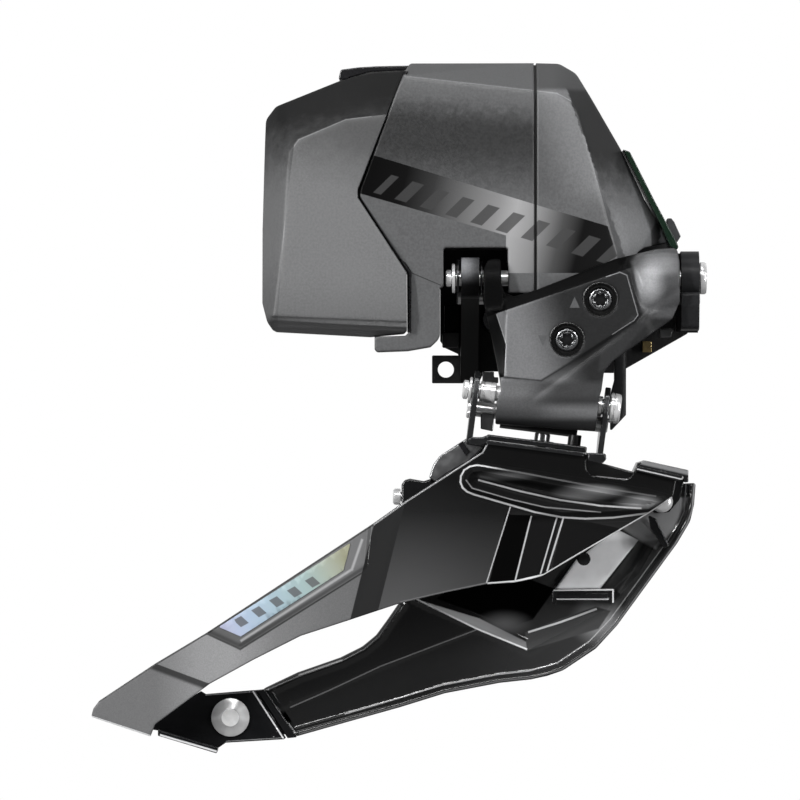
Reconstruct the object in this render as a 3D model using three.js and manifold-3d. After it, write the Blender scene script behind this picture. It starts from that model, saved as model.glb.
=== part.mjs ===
// Electronic front derailleur for a bicycle, modelled as an assembly.
// Units are millimetres. +X points forward along the bicycle, +Z up, and the
// outboard (drive) side faces -Y. The origin is where the hanger bolt's axis
// meets the saddle face, whose normal is +Y.
import * as THREE from 'three';
import * as BufferGeometryUtils from 'three/addons/utils/BufferGeometryUtils.js';
import Module from 'manifold-3d';

const wasm = await Module();
wasm.setup();

// ---------------------------------------------------------------- dimensions
const FACET = 16;               // sides of a small round part
const YAW_DEG = 7.2;            // lower pivots tip down towards the front
const UPPER_OUT = [-31.0, 6.67];   // Y, Z of the outer link's upper pivot
const UPPER_IN = [-20.0, 3.67];    // Y, Z of the inner link's upper pivot
const LOW_X = -1.33, LOW_Y = -35.2, LOW_Z = -12.4;  // a point on the outer link's lower pivot
const LINK_DY = UPPER_IN[0] - UPPER_OUT[0];         // both links are the same length
const LINK_DZ = UPPER_IN[1] - UPPER_OUT[1];
const PIN_R = 1.3, PIN_HOLE_R = 1.42;
const GEAR_M = 0.6;             // gear module
const Z_SECTOR = 36, Z_SMALL = 9, Z_BIG = 27, Z_MOTOR = 9;
const SECTOR_R = GEAR_M * Z_SECTOR / 2;
const IDLER_Z = UPPER_IN[1] + GEAR_M * (Z_SECTOR + Z_SMALL) / 2;
const MOTOR_Z = IDLER_Z + GEAR_M * (Z_BIG + Z_MOTOR) / 2;
const GEAR_Y = UPPER_IN[0];
const HOUSE_IN = -6.0, HOUSE_RIDGE = -27.0, HOUSE_OUT = -34.5;
const BATT_IN = -5.5, BATT_RIDGE = -26.0, BATT_OUT = -35.0;
const SPLIT_A = 6.2, SPLIT_B = 6.65;    // joint between housing and cover
const PLATE_OUT = [-37.6, -36.7];       // cage outer plate
const PLATE_IN = [-25.9, -25.0];        // cage inner plate
const WEB_Y = [-5.6, -2.0];             // mount bracket's web
const BOLT_R = 2.4;                     // M5 hanger bolt

// ------------------------------------------------------------------- helpers
const yaw = YAW_DEG * Math.PI / 180, CY = Math.cos(yaw), SY = Math.sin(yaw);

function fromArrays(pos, idx) {
  const m = new wasm.Mesh({ numProp: 3, vertProperties: new Float32Array(pos), triVerts: new Uint32Array(idx) });
  m.merge();
  const s = new wasm.Manifold(m);
  if (s.volume() < 0) {
    const flip = [];
    for (let i = 0; i < idx.length; i += 3) flip.push(idx[i], idx[i + 2], idx[i + 1]);
    const f = new wasm.Mesh({ numProp: 3, vertProperties: new Float32Array(pos), triVerts: new Uint32Array(flip) });
    f.merge();
    return new wasm.Manifold(f);
  }
  return s;
}
// closed solid through equal-count 3-D rings
function loft(rings, capFrom) {
  const n = rings[0].length, pos = [], idx = [];
  for (const r of rings) for (const p of r) pos.push(...p);
  for (let k = 0; k + 1 < rings.length; k++) for (let i = 0; i < n; i++) {
    const j = (i + 1) % n, a = k * n + i, b = k * n + j, c = a + n, d = b + n;
    idx.push(a, b, d, a, d, c);
  }
  const flat = capFrom || rings[0];
  const tri = THREE.ShapeUtils.triangulateShape(flat.map(p => new THREE.Vector2(p[3] ?? p[0], p[4] ?? p[2])), []);
  const base = (rings.length - 1) * n;
  for (const t of tri) { idx.push(t[0], t[2], t[1]); idx.push(base + t[0], base + t[1], base + t[2]); }
  return fromArrays(pos, orient(pos, idx, n, tri));
}
// caps must wind against the walls: test one shared edge and flip caps if needed
function orient(pos, idx, n, tri) {
  const wall = new Set();
  for (let i = 0; i < n * 6; i += 3) for (const [a, b] of [[0, 1], [1, 2], [2, 0]]) wall.add(idx[i + a] + '_' + idx[i + b]);
  const t = tri.find(q => [[0, 1], [1, 2], [2, 0]].some(([a, b]) => Math.abs(q[a] - q[b]) === 1 || Math.abs(q[a] - q[b]) === n - 1));
  const cap = [t[0], t[2], t[1]];
  let clash = false;
  for (const [a, b] of [[0, 1], [1, 2], [2, 0]]) if (wall.has(cap[a] + '_' + cap[b])) clash = true;
  if (!clash) return idx;
  const out = idx.slice();
  const start = idx.length - tri.length * 6;
  for (let i = start; i < idx.length; i += 3) { out[i + 1] = idx[i + 2]; out[i + 2] = idx[i + 1]; }
  return out;
}
const prismY = (poly, y0, y1) => loft([poly.map(([x, z]) => [x, y0, z]), poly.map(([x, z]) => [x, y1, z])]);
function prismX(poly, x0, x1) {  // poly in (y, z)
  const r = x => poly.map(([y, z]) => [x, y, z]);
  return loft([r(x0), r(x1)], poly.map(([y, z]) => [y, 0, z]));
}
const box = (a, b) => prismY([[a[0], a[2]], [b[0], a[2]], [b[0], b[2]], [a[0], b[2]]], a[1], b[1]);
// solid of revolution: profile is [[along, radius], ...] about the line p + t*d
function turned(p, d, profile, n = FACET, spin = 0) {
  const D = new THREE.Vector3(...d).normalize();
  const A = Math.abs(D.z) > 0.9 ? new THREE.Vector3(1, 0, 0) : new THREE.Vector3(0, 0, 1);
  const U = new THREE.Vector3().crossVectors(A, D).normalize(), V = new THREE.Vector3().crossVectors(D, U);
  const rings = profile.map(([t, r]) => {
    const out = [];
    for (let i = 0; i < n; i++) {
      const q = spin + i * 2 * Math.PI / n, c = Math.cos(q) * r, s = Math.sin(q) * r;
      out.push([p[0] + D.x * t + U.x * c + V.x * s, p[1] + D.y * t + U.y * c + V.y * s, p[2] + D.z * t + U.z * c + V.z * s]);
    }
    return out;
  });
  const capRing = []; for (let i = 0; i < n; i++) { const q = i * 2 * Math.PI / n; capRing.push([Math.cos(q), 0, Math.sin(q)]); }
  return loft(rings, capRing);
}
const rod = (p, d, t0, t1, r, n, spin) => turned(p, d, [[t0, r], [t1, r]], n, spin);
const tube = (p, d, t0, t1, r, ri, n) => rod(p, d, t0, t1, r, n).subtract(rod(p, d, t0 - 1, t1 + 1, ri, n));
// local frame of the lower pivots: a along the pivot, b = Y, c upwards
const lo = (a, c) => [LOW_X + a * CY + c * SY, LOW_Z - a * SY + c * CY];
const LOW_DIR = [CY, 0, -SY];
const loPoint = (a, b, c) => { const [x, z] = lo(a, c); return [x, b, z]; };
const prismLow = (poly, y0, y1) => prismY(poly.map(([a, c]) => lo(a, c)), y0, y1);
function slabLow(poly, a0, a1) {  // poly in (b, c), thickness along the pivot
  const r = a => poly.map(([b, c]) => loPoint(a, b, c));
  return loft([r(a0), r(a1)], poly.map(([b, c]) => [b, 0, c]));
}
function arc(cx, cz, r, d0, d1, n) {
  const out = [];
  for (let i = 0; i <= n; i++) { const q = (d0 + (d1 - d0) * i / n) * Math.PI / 180; out.push([cx + r * Math.cos(q), cz + r * Math.sin(q)]); }
  return out;
}
// spur gear outline in (y, z) about the origin; keep lists which teeth exist
function gearPoly(z, phase, backlash = 0.1, from = 0, to = z, hub = 0) {
  const rp = GEAR_M * z / 2, ra = rp + GEAR_M * 0.92, rf = rp - GEAR_M * 1.15, p = 2 * Math.PI / z, out = [];
  const hp = p / 4 - backlash / (2 * rp);
  const q = (r, a) => out.push([r * Math.cos(a), r * Math.sin(a)]);
  for (let i = from; i < to; i++) {
    const a = phase + i * p;
    q(rf, a - hp * 1.55); if (z < 20) q(rp, a - hp); q(ra, a - hp * 0.42); q(ra, a + hp * 0.42); if (z < 20) q(rp, a + hp); q(rf, a + hp * 1.55);
  }
  if (hub) { const e = phase + (to - 0.5) * p, s = phase + (from - 0.5) * p; q(rf, e); q(hub, e); for (let k = 1; k < 4; k++) q(hub, e + (s - e) * k / 4); q(hub, s); q(rf, s); }
  return out;
}

const group = new THREE.Group();
group.name = 'front_derailleur';
function add(name, solid, color, roughness, metalness) {
  const m = solid.getMesh();
  const g = new THREE.BufferGeometry();
  g.setAttribute('position', new THREE.BufferAttribute(new Float32Array(m.vertProperties), 3));
  g.setIndex(new THREE.BufferAttribute(new Uint32Array(m.triVerts), 1));
  const geo = BufferGeometryUtils.mergeVertices(g, 1e-4);
  geo.computeVertexNormals();
  const mesh = new THREE.Mesh(geo, new THREE.MeshStandardMaterial({ color, roughness, metalness }));
  mesh.name = name;
  group.add(mesh);
}
const all = (...s) => s.reduce((a, b) => a.add(b));
const GRAPHITE = 0x2b2c2e, BATT = 0x4a4b4d, BLACK = 0x121314, STEEL = 0xb9bbbd, ALLOY = 0x202123;
const X = [1, 0, 0], Y = [0, 1, 0];
const outC = [0, ...UPPER_OUT], inC = [0, ...UPPER_IN];

// ------------------------------------------------------------- mount bracket
{
  const web = prismY([[-5.92, 10.33], [33.75, 10.33], [33.75, -1.17], [32.5, -2.5], [21.33, -8.83], [20, -9], [0.5, -8.83], [-1.83, -8.83], [-2.83, -10.83], [-5.92, -10.83]], ...WEB_Y);
  const rear = prismX([[-2, 10.2], [-2, -10.7], [-9, -10.7], [-24, -0.6], [-31.6, 3.2], ...arc(...UPPER_OUT, 3.5, 260, 90, 7)], -5.92, -2.95);
  const front = prismX([[-2, 10.2], [-2, -2], [-27, -2.4], [-34.4, -0.6], [-35.4, 4.5], ...arc(...UPPER_OUT, 4.45, 200, 90, 5)], 30.73, 33.75);
  const pad = loft([9.3, -8.3].map(z => [[-5.8, -2.5, z], [-5.8, -0.8, z], [-3.9, 0, z], [3.9, 0, z], [5.8, -0.8, z], [5.8, -2.5, z]]),
    [[-5.8, 0, -2.5], [-5.8, 0, -0.8], [-3.9, 0, 0], [3.9, 0, 0], [5.8, 0, -0.8], [5.8, 0, -2.5]]);
  const tab = prismY([[-10.72, -6.08], [-5.17, -6.08], [-5.17, -10.83], [-10.72, -10.83]], -4.2, -1.2);
  let s = all(web, rear, front, pad, tab);
  s = s.subtract(rod([0, 0, 0], Y, -12, 3, BOLT_R + 0.12, 24)).subtract(rod([0, 0, 0], Y, -0.3, 2, 3.6, 24));
  s = s.subtract(rod([-8.37, 0, -8.5], Y, -6, 1, 1.37, 24));
  s = s.subtract(rod(outC, X, -12, 40, PIN_HOLE_R, FACET)).subtract(rod(inC, X, -12, 40, PIN_HOLE_R, FACET));
  for (const x of [16.5, 23.5]) s = s.subtract(rod([x, 0, 8.9], Y, -8, 0, 0.95, 12));
  add('mount_bracket', s, BLACK, 0.45, 0.6);
}
add('mount_washer', tube([0, 0, 0], Y, -0.28, 0.6, 3.25, BOLT_R + 0.15, 24), STEEL, 0.3, 1);
add('mount_bolt', turned([0, 0, 0], Y, [[-9.5, BOLT_R - 0.3], [-9.1, BOLT_R], [0.68, BOLT_R], [0.68, 3.2], [3.0, 3.2], [3.4, 2.8]], 24)
  .subtract(rod([0, 0, 0], Y, 1.2, 5, 1.7, 6)), STEEL, 0.25, 1);
for (const [k, x] of [['a', 16.5], ['b', 23.5]])
  add('housing_screw_' + k, turned([x, 0, 8.9], Y, [[-7.6, 0.8], [-1.95, 0.8], [-1.95, 1.45], [-0.9, 1.3]], 12).subtract(rod([x, 0, 8.9], Y, -1.5, 0, 0.6, 6)), STEEL, 0.35, 1);
add('brass_stop', box([25.0, -7.3, -5.6], [26.5, -5.65, -3.7]), 0x9c7f43, 0.4, 1);

// ------------------------------------------------------------ motor housing
const slotLow = box([1.0, -33.3, -5], [30, HOUSE_IN + 1, 7.6]).add(box([1.0, -33.3, 0], [30, -27.5, 9.6]));
const shape = (a, b, c) => loft([a.map(([x, z]) => [x, HOUSE_IN, z]), b.map(([x, z]) => [x, HOUSE_RIDGE, z]), c.map(([x, z]) => [x, HOUSE_OUT, z])]);
const latchAt = [-13.7, 41.0];
{
  const sil = [[-14.5, 42.58], [6.2, 42.75], [6.2, 4.25], [1.83, 4.25], [1.83, 11.83], [-8.92, 11.83], [-8.92, 5.33], [-9.5, 4.83], [-9.5, -3.33], [-10.83, -4.67], [-14.83, -5.42], [-19.83, -5.58], [-20.33, -5], [-20.33, -3.25], [-15.25, -2.92], [-14.67, -2.17], [-14.7, 7.67], [-22.83, 20.25], [-22.83, 21.25], [-16.83, 37], [-15, 41.67]];
  const face = [[-15.42, 40.42], [6.2, 38], [6.2, 4.25], [1.83, 4.25], [1.83, 11.5], [-8.92, 11.5], [-8.92, 5.33], [-9.5, 4.83], [-9.67, -3.17], [-11, -4.5], [-14.83, -5.25], [-19.5, -5.25], [-20, -4.83], [-20, -3.42], [-15.25, -3.08], [-14.67, -2.33], [-14.7, 7.67], [-22.83, 20.25], [-22.83, 21.25], [-16.83, 37], [-15.83, 39.67]];
  const inb = [[-14.17, 41.83], [6.2, 41.83], [6.2, 8], [1.83, 8], [1.83, 11.83], [-8.92, 11.83], [-8.92, 5.33], [-9.5, 4.83], [-9.5, -3], [-10.83, -4.33], [-14.83, -5], [-19.67, -5.17], [-20.17, -4.67], [-20.17, -3.33], [-15.25, -2.92], [-14.67, -2.17], [-14.7, 7.67], [-22.5, 20.17], [-22.5, 21.17], [-16.67, 36.83], [-14.83, 41]];
  let s = shape(inb, sil, face);
  s = s.subtract(box([-13, -31.5, 14], [8, -8.5, 38.5]));
  s = s.subtract(slotLow);
  s = s.subtract(box([-16.6, -24.6, 38.9], [-11.8, -13.4, 44])).subtract(rod([latchAt[0], 0, latchAt[1]], Y, -26.6, -11.4, 0.62, 12));
  s = s.subtract(box([-15.5, -24.2, 0.6], [-13.4, -15.8, 5.4]));
  add('motor_housing', s, GRAPHITE, 0.55, 0.1);
}
{
  const sil = [[6.65, 42.75], [10.5, 42.67], [12.5, 42], [13.83, 40.33], [20.5, 28.5], [24.83, 19.67], [27.17, 15], [28.33, 12.67], [27.67, 12], [24.67, 11.92], [23.83, 11], [23.33, 4.25], [10.5, 4.25], [6.65, 4.25]];
  const face = [[6.65, 38], [10, 37.5], [12, 36.83], [13.17, 35], [15, 28.83], [17.17, 20.5], [18.67, 15], [19.5, 12], [19.58, 11], [19.67, 10], [19.5, 9.33], [19, 7], [10.5, 4.25], [6.65, 4.25]];
  const inb = [[6.65, 41.83], [10, 41.67], [11.67, 41.17], [13, 39.67], [19.17, 28.5], [23.33, 19.67], [25.5, 15], [26.5, 13], [26.17, 12.17], [24.17, 12], [23.33, 11], [22.83, 8.33], [10.5, 8], [6.65, 8]];
  let s = shape(inb, sil, face);
  s = s.subtract(prismY([[5, 12], [17.4, 12], [17.4, 24], [11.4, 37], [5, 38.5]], -31.5, -8.5));
  s = s.subtract(slotLow).subtract(box([7.9, -31.4, 0], [15.6, -8.6, 16])).subtract(box([5, -29.5, 10], [15.6, -10.5, 31.9]));
  s = s.subtract(prismY([[25.83, 15.67], [27.83, 17.08], [29.5, 13.67], [27.5, 12]], -22.9, -17.1));
  s = s.subtract(rod([0, GEAR_Y, IDLER_Z], X, 15, 20, 1.0, 12));
  for (const x of [16.5, 23.5]) s = s.subtract(rod([x, 0, 8.9], Y, -8, 0, 0.95, 12));
  add('housing_cover', s, GRAPHITE, 0.55, 0.1);
}
{
  const ring = prismX([[-32.9, 9.9], [-32.9, 37], [-27, 41.6], [-7, 40.8], [-7, 8.2], [-27, 8.2], [-27, 9.9]], SPLIT_A + 0.06, SPLIT_B - 0.06)
    .subtract(prismX([[-31.2, 14.2], [-31.2, 36.2], [-26.6, 39.2], [-8.8, 39.2], [-8.8, 14.2]], 5, 8));
  add('housing_gasket', ring, 0x0b0b0c, 0.8, 0);
}
add('motor_case', rod([0, GEAR_Y, MOTOR_Z], X, -10, 4.6, 5.2, 24).subtract(rod([0, GEAR_Y, MOTOR_Z], X, -4, 6, 1.0, 12)), 0x8d8f91, 0.35, 1);
add('circuit_board', box([-12, -30.6, 16], [5.4, -29.4, 36]).add(box([-8, -29.5, 20], [-2, -27.6, 26])), 0x1d4a2c, 0.6, 0);
add('battery_contacts', box([-14.95, -23.8, 0.9], [-13.6, -16.2, 5.1]), 0x9c7f43, 0.35, 0.9);
add('idler_shaft', rod([0, GEAR_Y, IDLER_Z], X, 7.2, 18.8, 0.85, 12), STEEL, 0.25, 1);
{
  let s = prismY([[21.08, 28.42], [22.08, 28.17], [26.33, 19.92], [28, 16.83], [30.17, 12.83], [30.42, 12], [29.83, 11.75], [29.08, 12.42], [27.75, 15.08], [25.38, 19.67]], -27.5, -12);
  s = s.subtract(prismY([[25.83, 15.67], [27.83, 17.08], [29.5, 17.25], [32.17, 13.33], [29.83, 12.58], [28.17, 13]], -22.9, -17.1));
  add('indicator_plate', s, 0x16301f, 0.35, 0.1);
}
add('latch_pin', rod([latchAt[0], 0, latchAt[1]], Y, -26.3, -11.7, 0.5, 12), STEEL, 0.3, 1);
add('latch_spring', tube([latchAt[0], 0, latchAt[1]], Y, -13.9, -13.5, 1.2, 0.65, 12).add(box([-13.1, -13.9, 39.1], [-12.7, -13.5, 40.4])), STEEL, 0.3, 1);
add('upper_outer_pin', turned(outC, X, [[-8.57, 1.2], [-8.4, PIN_R], [33.9, PIN_R], [33.9, 2.67], [34.7, 2.67], [35, 2.4]], FACET), STEEL, 0.2, 1);
add('upper_pin_washer', tube(outC, X, -7.5, -6.95, 2.47, PIN_HOLE_R, FACET), STEEL, 0.2, 1);
add('upper_wave_washer', tube(outC, X, -6.7, -6.3, 3.17, PIN_HOLE_R, FACET), STEEL, 0.25, 1);
add('upper_inner_pin', rod(inC, X, -6.6, 34.3, PIN_R, FACET), STEEL, 0.2, 1);
add('link_shim', tube(outC, X, -2.75, -2.4, 2.9, PIN_HOLE_R, FACET), STEEL, 0.3, 1);

// ---------------------------------------------------------------- outer link
const facetTop = [-37.9, 6.67], facetLow = [-40.2, -12.4];
const fl = Math.hypot(facetLow[0] - facetTop[0], facetLow[1] - facetTop[1]);
const FN = [0, -(facetTop[1] - facetLow[1]) / fl, (facetLow[0] - facetTop[0]) / fl];  // outward normal of the screw facet
const facetY = z => facetTop[0] + (facetTop[1] - z) / (facetTop[1] - facetLow[1]) * (facetLow[0] - facetTop[0]);
const SCREW_H = [17.17, 2.92], SCREW_L = [11.6, -3.77];
{
  const front = prismY([[-2.33, 2.17], [-0.33, 3.42], [2.83, 3.5], [6.5, 4.67], [19.67, 9.83], [24.67, 11.17], [30.33, 11.67], [30.33, 3], [29.33, 0], [19.17, -7.17], [17.83, -9.17], [17.33, -12], [16.25, -18.92], [-0.33, -17.67], [0, -13.5], [-1.17, -10.33], [-2, -3.67]], -46, -28);
  const side = prismX([[-37.2, 12.2], [-38.3, 9], [-38.5, 5], [-40.2, -12.4], [-39.2, -15.6], [-36.8, -17.6], [-33.6, -17.6], [-31.2, -15.8], [-30.5, -12.4],
    [-31.6, -9.4], [-36.6, -6], [-36.0, 1.5], [-35.75, 6.6], [-35.75, 12.2]], -8, 34);
  let s = front.intersect(side);
  // rear ear and front boss reach in to the upper pivot
  const ear = prismX([[-37.8, 4.6], [-37.8, 9.3], [-34, 10.1], ...arc(...UPPER_OUT, 3.35, 90, -100, 8), [-34.5, 1.2], [-36.4, -1.5], [-38.6, -1.5]], -2.1, 0.6);
  const boss = prismX([[-37.6, 2], [-37.8, 9.5], [-35.5, 11.2], ...arc(...UPPER_OUT, 4.9, 100, -110, 9), [-37.8, -1.5]], 24.9, 30.35);
  const root = prismX([[-38.6, 0.6], [-35.6, 0.6], [-35.6, -2], [-38.8, -2]], -2.1, 1.6);
  s = all(s, ear, boss, root);
  const barrel = slabLow(arc(LOW_Y, 0, 4.95, 0, 345, 23), 1.3, 18.0).intersect(front.add(box([-1, -46, -19], [19, -28, -10])));
  s = s.add(barrel);
  s = s.subtract(rod(outC, X, -12, 40, PIN_HOLE_R, FACET)).subtract(rod(loPoint(0, LOW_Y, 0), LOW_DIR, -6, 26, PIN_HOLE_R, FACET));
  for (const [x, z] of [SCREW_H, SCREW_L]) {
    const p = [x, facetY(z), z];
    s = s.subtract(rod(p, FN, -0.55, 3, 2.87, 24)).subtract(rod(p, FN, -8, 3, 1.98, 24));
  }
  // trim both ends of the barrel square to the lower pivot
  s = s.subtract(slabLow([[-44, -9], [-26, -9], [-26, 4.6], [-44, 4.6]], 18.05, 24)).subtract(slabLow([[-44, -9], [-26, -9], [-26, 3.6], [-44, 3.6]], -6, 1.25));
  add('outer_link', s, ALLOY, 0.4, 0.7);
}
for (const [k, [x, z]] of [['high', SCREW_H], ['low', SCREW_L]]) {
  const p = [x, facetY(z), z];
  add(k + '_limit_screw', turned(p, FN, [[-3.2, 1.5], [-2.9, 1.86], [-0.35, 1.86], [-0.2, 1.7]], 24).subtract(rod(p, FN, -1.9, 1, 1.1, 6)), STEEL, 0.25, 1);
}

// ------------------------------------------------- inner link and gear train
const lowIn = [LOW_Y + LINK_DY, LINK_DZ];    // Y, and drop in Z, of the inner lower pivot
const dropA = -LINK_DZ * -SY, dropC = LINK_DZ * CY;
{
  const hub = rod(inC, X, -1.6, 29.6, 2.8, FACET);
  const top = inC, lowZ = LOW_Z + LINK_DZ;
  const plate = x0 => 0;
  const body = prismX([[-18.9, 3.2], [-21.1, 3.2], [-25.4, -15.2], [-25.4, -16.6], [-23.1, -16.6], [-23.1, -15.2]], 2.2, 14.6);
  const tail = prismX([[-21.4, 3.0], [-23.2, -4.2], [-26.4, -17.6], [-24.4, -17.6], [-21.4, -4.2], [-19.2, 3.0]], 19.75, 21.7)
    .subtract(prismY([[17.17, -19.67], [21.83, -16], [23.83, -19.67]], -40, -10));
  const barrel = slabLow(arc(lowIn[0], dropC, 2.7, 0, 345, 23), 2.6, 15.6);
  let s = all(hub, body, tail, barrel).subtract(rod(inC, X, -8, 36, PIN_HOLE_R, FACET)).subtract(rod(loPoint(dropA, lowIn[0], dropC), LOW_DIR, -6, 26, 1.68, FACET));
  s = s.subtract(tube(inC, X, 8.3, 12.7, 6, 2.45, 24));
  add('inner_link', s, BLACK, 0.45, 0.6);
}
{
  const p = 2 * Math.PI / Z_SECTOR, up = Math.PI / 2;
  // fan of teeth: the gear plane is Y-Z, angles from +Y towards +Z
  const poly = gearPoly(Z_SECTOR, up, 0.12, -5, 3, 4.2).map(([y, z]) => [y + UPPER_IN[0], z + UPPER_IN[1]]);
  const s = prismX(poly, 8.6, 12.4).add(rod(inC, X, 8.6, 12.4, 4.3, 24)).subtract(rod(inC, X, 5, 20, 2.55, 24));
  add('drive_sector_gear', s, STEEL, 0.35, 1);
}
{
  const c = ([y, z]) => [y + GEAR_Y, z + IDLER_Z];
  // a tooth gap of the small wheel faces the sector's tooth
  const small = prismX(gearPoly(Z_SMALL, -Math.PI / 2 + Math.PI / Z_SMALL).map(c), 8.6, 13.2);
  const big = prismX(gearPoly(Z_BIG, -Math.PI / 2 + Math.PI / Z_SMALL).map(c), 13.1, 15.0);
  add('idler_gear', small.add(big).subtract(rod([0, GEAR_Y, IDLER_Z], X, 5, 20, 1.0, 12)), STEEL, 0.35, 1);
}
{
  const c = ([y, z]) => [y + GEAR_Y, z + MOTOR_Z];
  const phaseBig = -Math.PI / 2 + Math.PI / Z_SMALL, step = 2 * Math.PI / Z_BIG;
  const off = ((Math.PI / 2 - phaseBig) / step) % 1;      // how far the big wheel's nearest tooth is from straight up
  const turn = off * 2 * Math.PI / Z_MOTOR;
  const s = prismX(gearPoly(Z_MOTOR, -Math.PI / 2 + Math.PI / Z_MOTOR + turn).map(c), 13.1, 15.0).add(rod([0, GEAR_Y, MOTOR_Z], X, -3, 13.2, 0.85, 12));
  add('motor_pinion', s, STEEL, 0.3, 1);
}

// ---------------------------------------------------------------------- cage
{
  const ear = a => slabLow([[-38.3, -1.2], [-37.4, 2.0], [-35.2, 3.3], [-32.8, 2.4], [-25.5, -0.4], [-22.4, -1.2], [-21.6, -3.6], [-23.2, -6.0], [-26.6, -7.4], [-26.6, -8.9], [-36.3, -8.9], [-36.3, -6]], a[0], a[1]);
  let s = all(ear([-2.75, -1.75]), ear([19.15, 20.1]), prismLow([[-2.75, -8.9], [20.1, -8.9], [20.1, -7.95], [-2.75, -7.95]], -36.3, -26.4));
  for (const c of [[LOW_Y, 0, 0], [lowIn[0], dropC, dropA]]) s = s.subtract(rod(loPoint(c[2], c[0], c[1]), LOW_DIR, -8, 30, PIN_HOLE_R, FACET));
  s = s.subtract(rod(loPoint(9.8, -31, -8.4), [SY, 0, CY], -3, 3, 0.9, 12)).subtract(rod(loPoint(15.2, -31, -8.4), [SY, 0, CY], -3, 3, 1.3, 12));
  add('cage_yoke', s, 0x3a3b3d, 0.3, 0.9);
}
{
  const main = prismY([[-1.58, -20.5], [-2.5, -22.17], [-15.23, -30.4], [-20.7, -34.25], [-48.5, -52.5], [-56.83, -57.5], [-66.5, -64.33], [-67.5, -66.42], [-57.75, -69.67], [-57, -67.67], [-47.83, -60.83], [-40.58, -56.83], [-32.67, -52.83], [-23.23, -49.78], [-16.17, -47.43], [-8.67, -45.67], [-1.83, -44.27], [2.92, -44], [7.6, -42.92], [11.58, -40.57], [25.17, -32.58], [29.3, -29.83], [29.83, -26.92], [22.93, -25.45], [21.45, -26.8], [15.83, -26.17], [14.75, -25.17], [14.9, -22.33]], ...PLATE_OUT);
  const flange = prismLow([[0.7, -7.75], [17.6, -7.75], [17.6, -6.9], [0.7, -6.9]], PLATE_OUT[0], -33.4)
    .add(prismLow([[0.7, -8.6], [17.2, -8.6], [17.2, -7.2], [0.7, -7.2]], ...PLATE_OUT));
  const bridge = prismY([[22.75, -25.5], [22.92, -24.58], [31.67, -26.5], [31.5, -27.33]], -37.6, -26.3);
  const lip = prismY([[23.83, -25.33], [31.5, -27], [30.5, -30.33], [28.83, -32.17], [26.83, -32.17], [24.67, -29.67]], -27.15, -26.3);
  const ribPts = [[-3.5, -24.67], [10.5, -27.67], [17.17, -28.67], [28.67, -30], [25, -32.67], [17.17, -33], [10.67, -33], [2.33, -31.17], [-4.73, -29], [-5.92, -27.67], [-5.5, -25.67]];
  const rib = prismY(ribPts, -38.6, -37.5);
  const badge = loft([[[-48.17, -52.33], [-42.75, -54.67], [-21.83, -41.33], [-21, -34.67]].map(([x, z]) => [x, -37.5, z]), [[-46.33, -51.83], [-42.67, -53.67], [-23.33, -41.33], [-22.5, -36]].map(([x, z]) => [x, -38.2, z])]);
  let s = all(main, flange, bridge, lip, rib, badge).subtract(rod([27.67, 0, -30.67], Y, -28, -20, 1.12, FACET));
  s = s.subtract(prismLow([[-1, -8.95], [17.3, -8.95], [17.3, -7.9], [-1, -7.9]], -36.65, -26));
  add('cage_outer_plate', s, 0x1b1c1e, 0.22, 0.9);
  add('cage_badge', prismY([[-45.17, -51.5], [-42.67, -52.67], [-25.67, -41.83], [-24.83, -37.67]], -38.5, -38.25), 0xc4d6e4, 0.3, 0.6);
}
{
  const s0 = prismY([[-48.83, -64], [-40.67, -62.33], [-38.5, -61.83], [-33.33, -59.33], [-22.83, -55.17], [-18.83, -51.77], [-16.33, -48], [-16.5, -40.33], [-15.83, -31.17], [-15.92, -27.67], [-14.5, -26.83], [-11.17, -26.83], [-10.5, -24.33], [-9.5, -23.17], [-5.17, -20.83], [-2.83, -21.33], [15.5, -23.67], [22.83, -25.33], [31.67, -27.58], [33.42, -27.83], [33, -32], [32.5, -34], [30.33, -37.67], [20.25, -51.42], [16.67, -55.33], [11.17, -59], [5.83, -60.5], [-8.67, -62.83], [-16.17, -65.17], [-33.33, -70], [-42.83, -70.33]], ...PLATE_IN);
  const lipF = prismY([[32.17, -27.67], [33.42, -27.83], [33, -32], [32.5, -34], [30.33, -37.67], [20.25, -51.42], [16.67, -55.33], [11.17, -59], [11, -58.17], [16, -54.67], [19.33, -51], [29.33, -37.17], [31.42, -33.67], [31.92, -31.67]], -27.4, -25.5);
  const lug = prismY([[-15.83, -27.67], [-14.5, -26.92], [-11.17, -26.92], [-11.17, -31.67], [-15.83, -31.67]], -28.9, -25.5);
  let s = s0.add(lipF).add(lug).subtract(rod([27.67, 0, -30.67], Y, -28, -20, 1.12, FACET)).subtract(rod([-44.57, 0, -66.83], Y, -30, -20, 1.32, FACET)).subtract(rod([-15.2, -27.2, -29.8], X, -3, 2.6, 0.9, 12));
  add('cage_inner_plate', s, 0x17181a, 0.2, 0.9);
}
{
  const face = prismY([[-52.83, -65.67], [-50.17, -63.17], [-40.58, -62.25], [-35.5, -70.33], [-45.33, -71.17], [-46.67, -72.33], [-55.83, -69.33]], -27.2, -26.3);
  const floor = prismY([[-56, -68.83], [-46.5, -71.75], [-46.67, -72.58], [-56.17, -69.75]], -36.4, -26.3);
  add('tail_bridge', face.add(floor).subtract(rod([-44.57, 0, -66.83], Y, -30, -20, 1.32, FACET)), 0x17181a, 0.25, 0.9);
}
add('tail_rivet', turned([-44.57, 0, -66.83], Y, [[-29.3, 1.5], [-28.6, 2.7], [-27.6, 3.15], [-27.25, 3.15], [-27.25, 1.22], [-24.9, 1.22], [-24.9, 2.2], [-24.3, 1.8]], FACET), STEEL, 0.15, 1);
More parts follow.
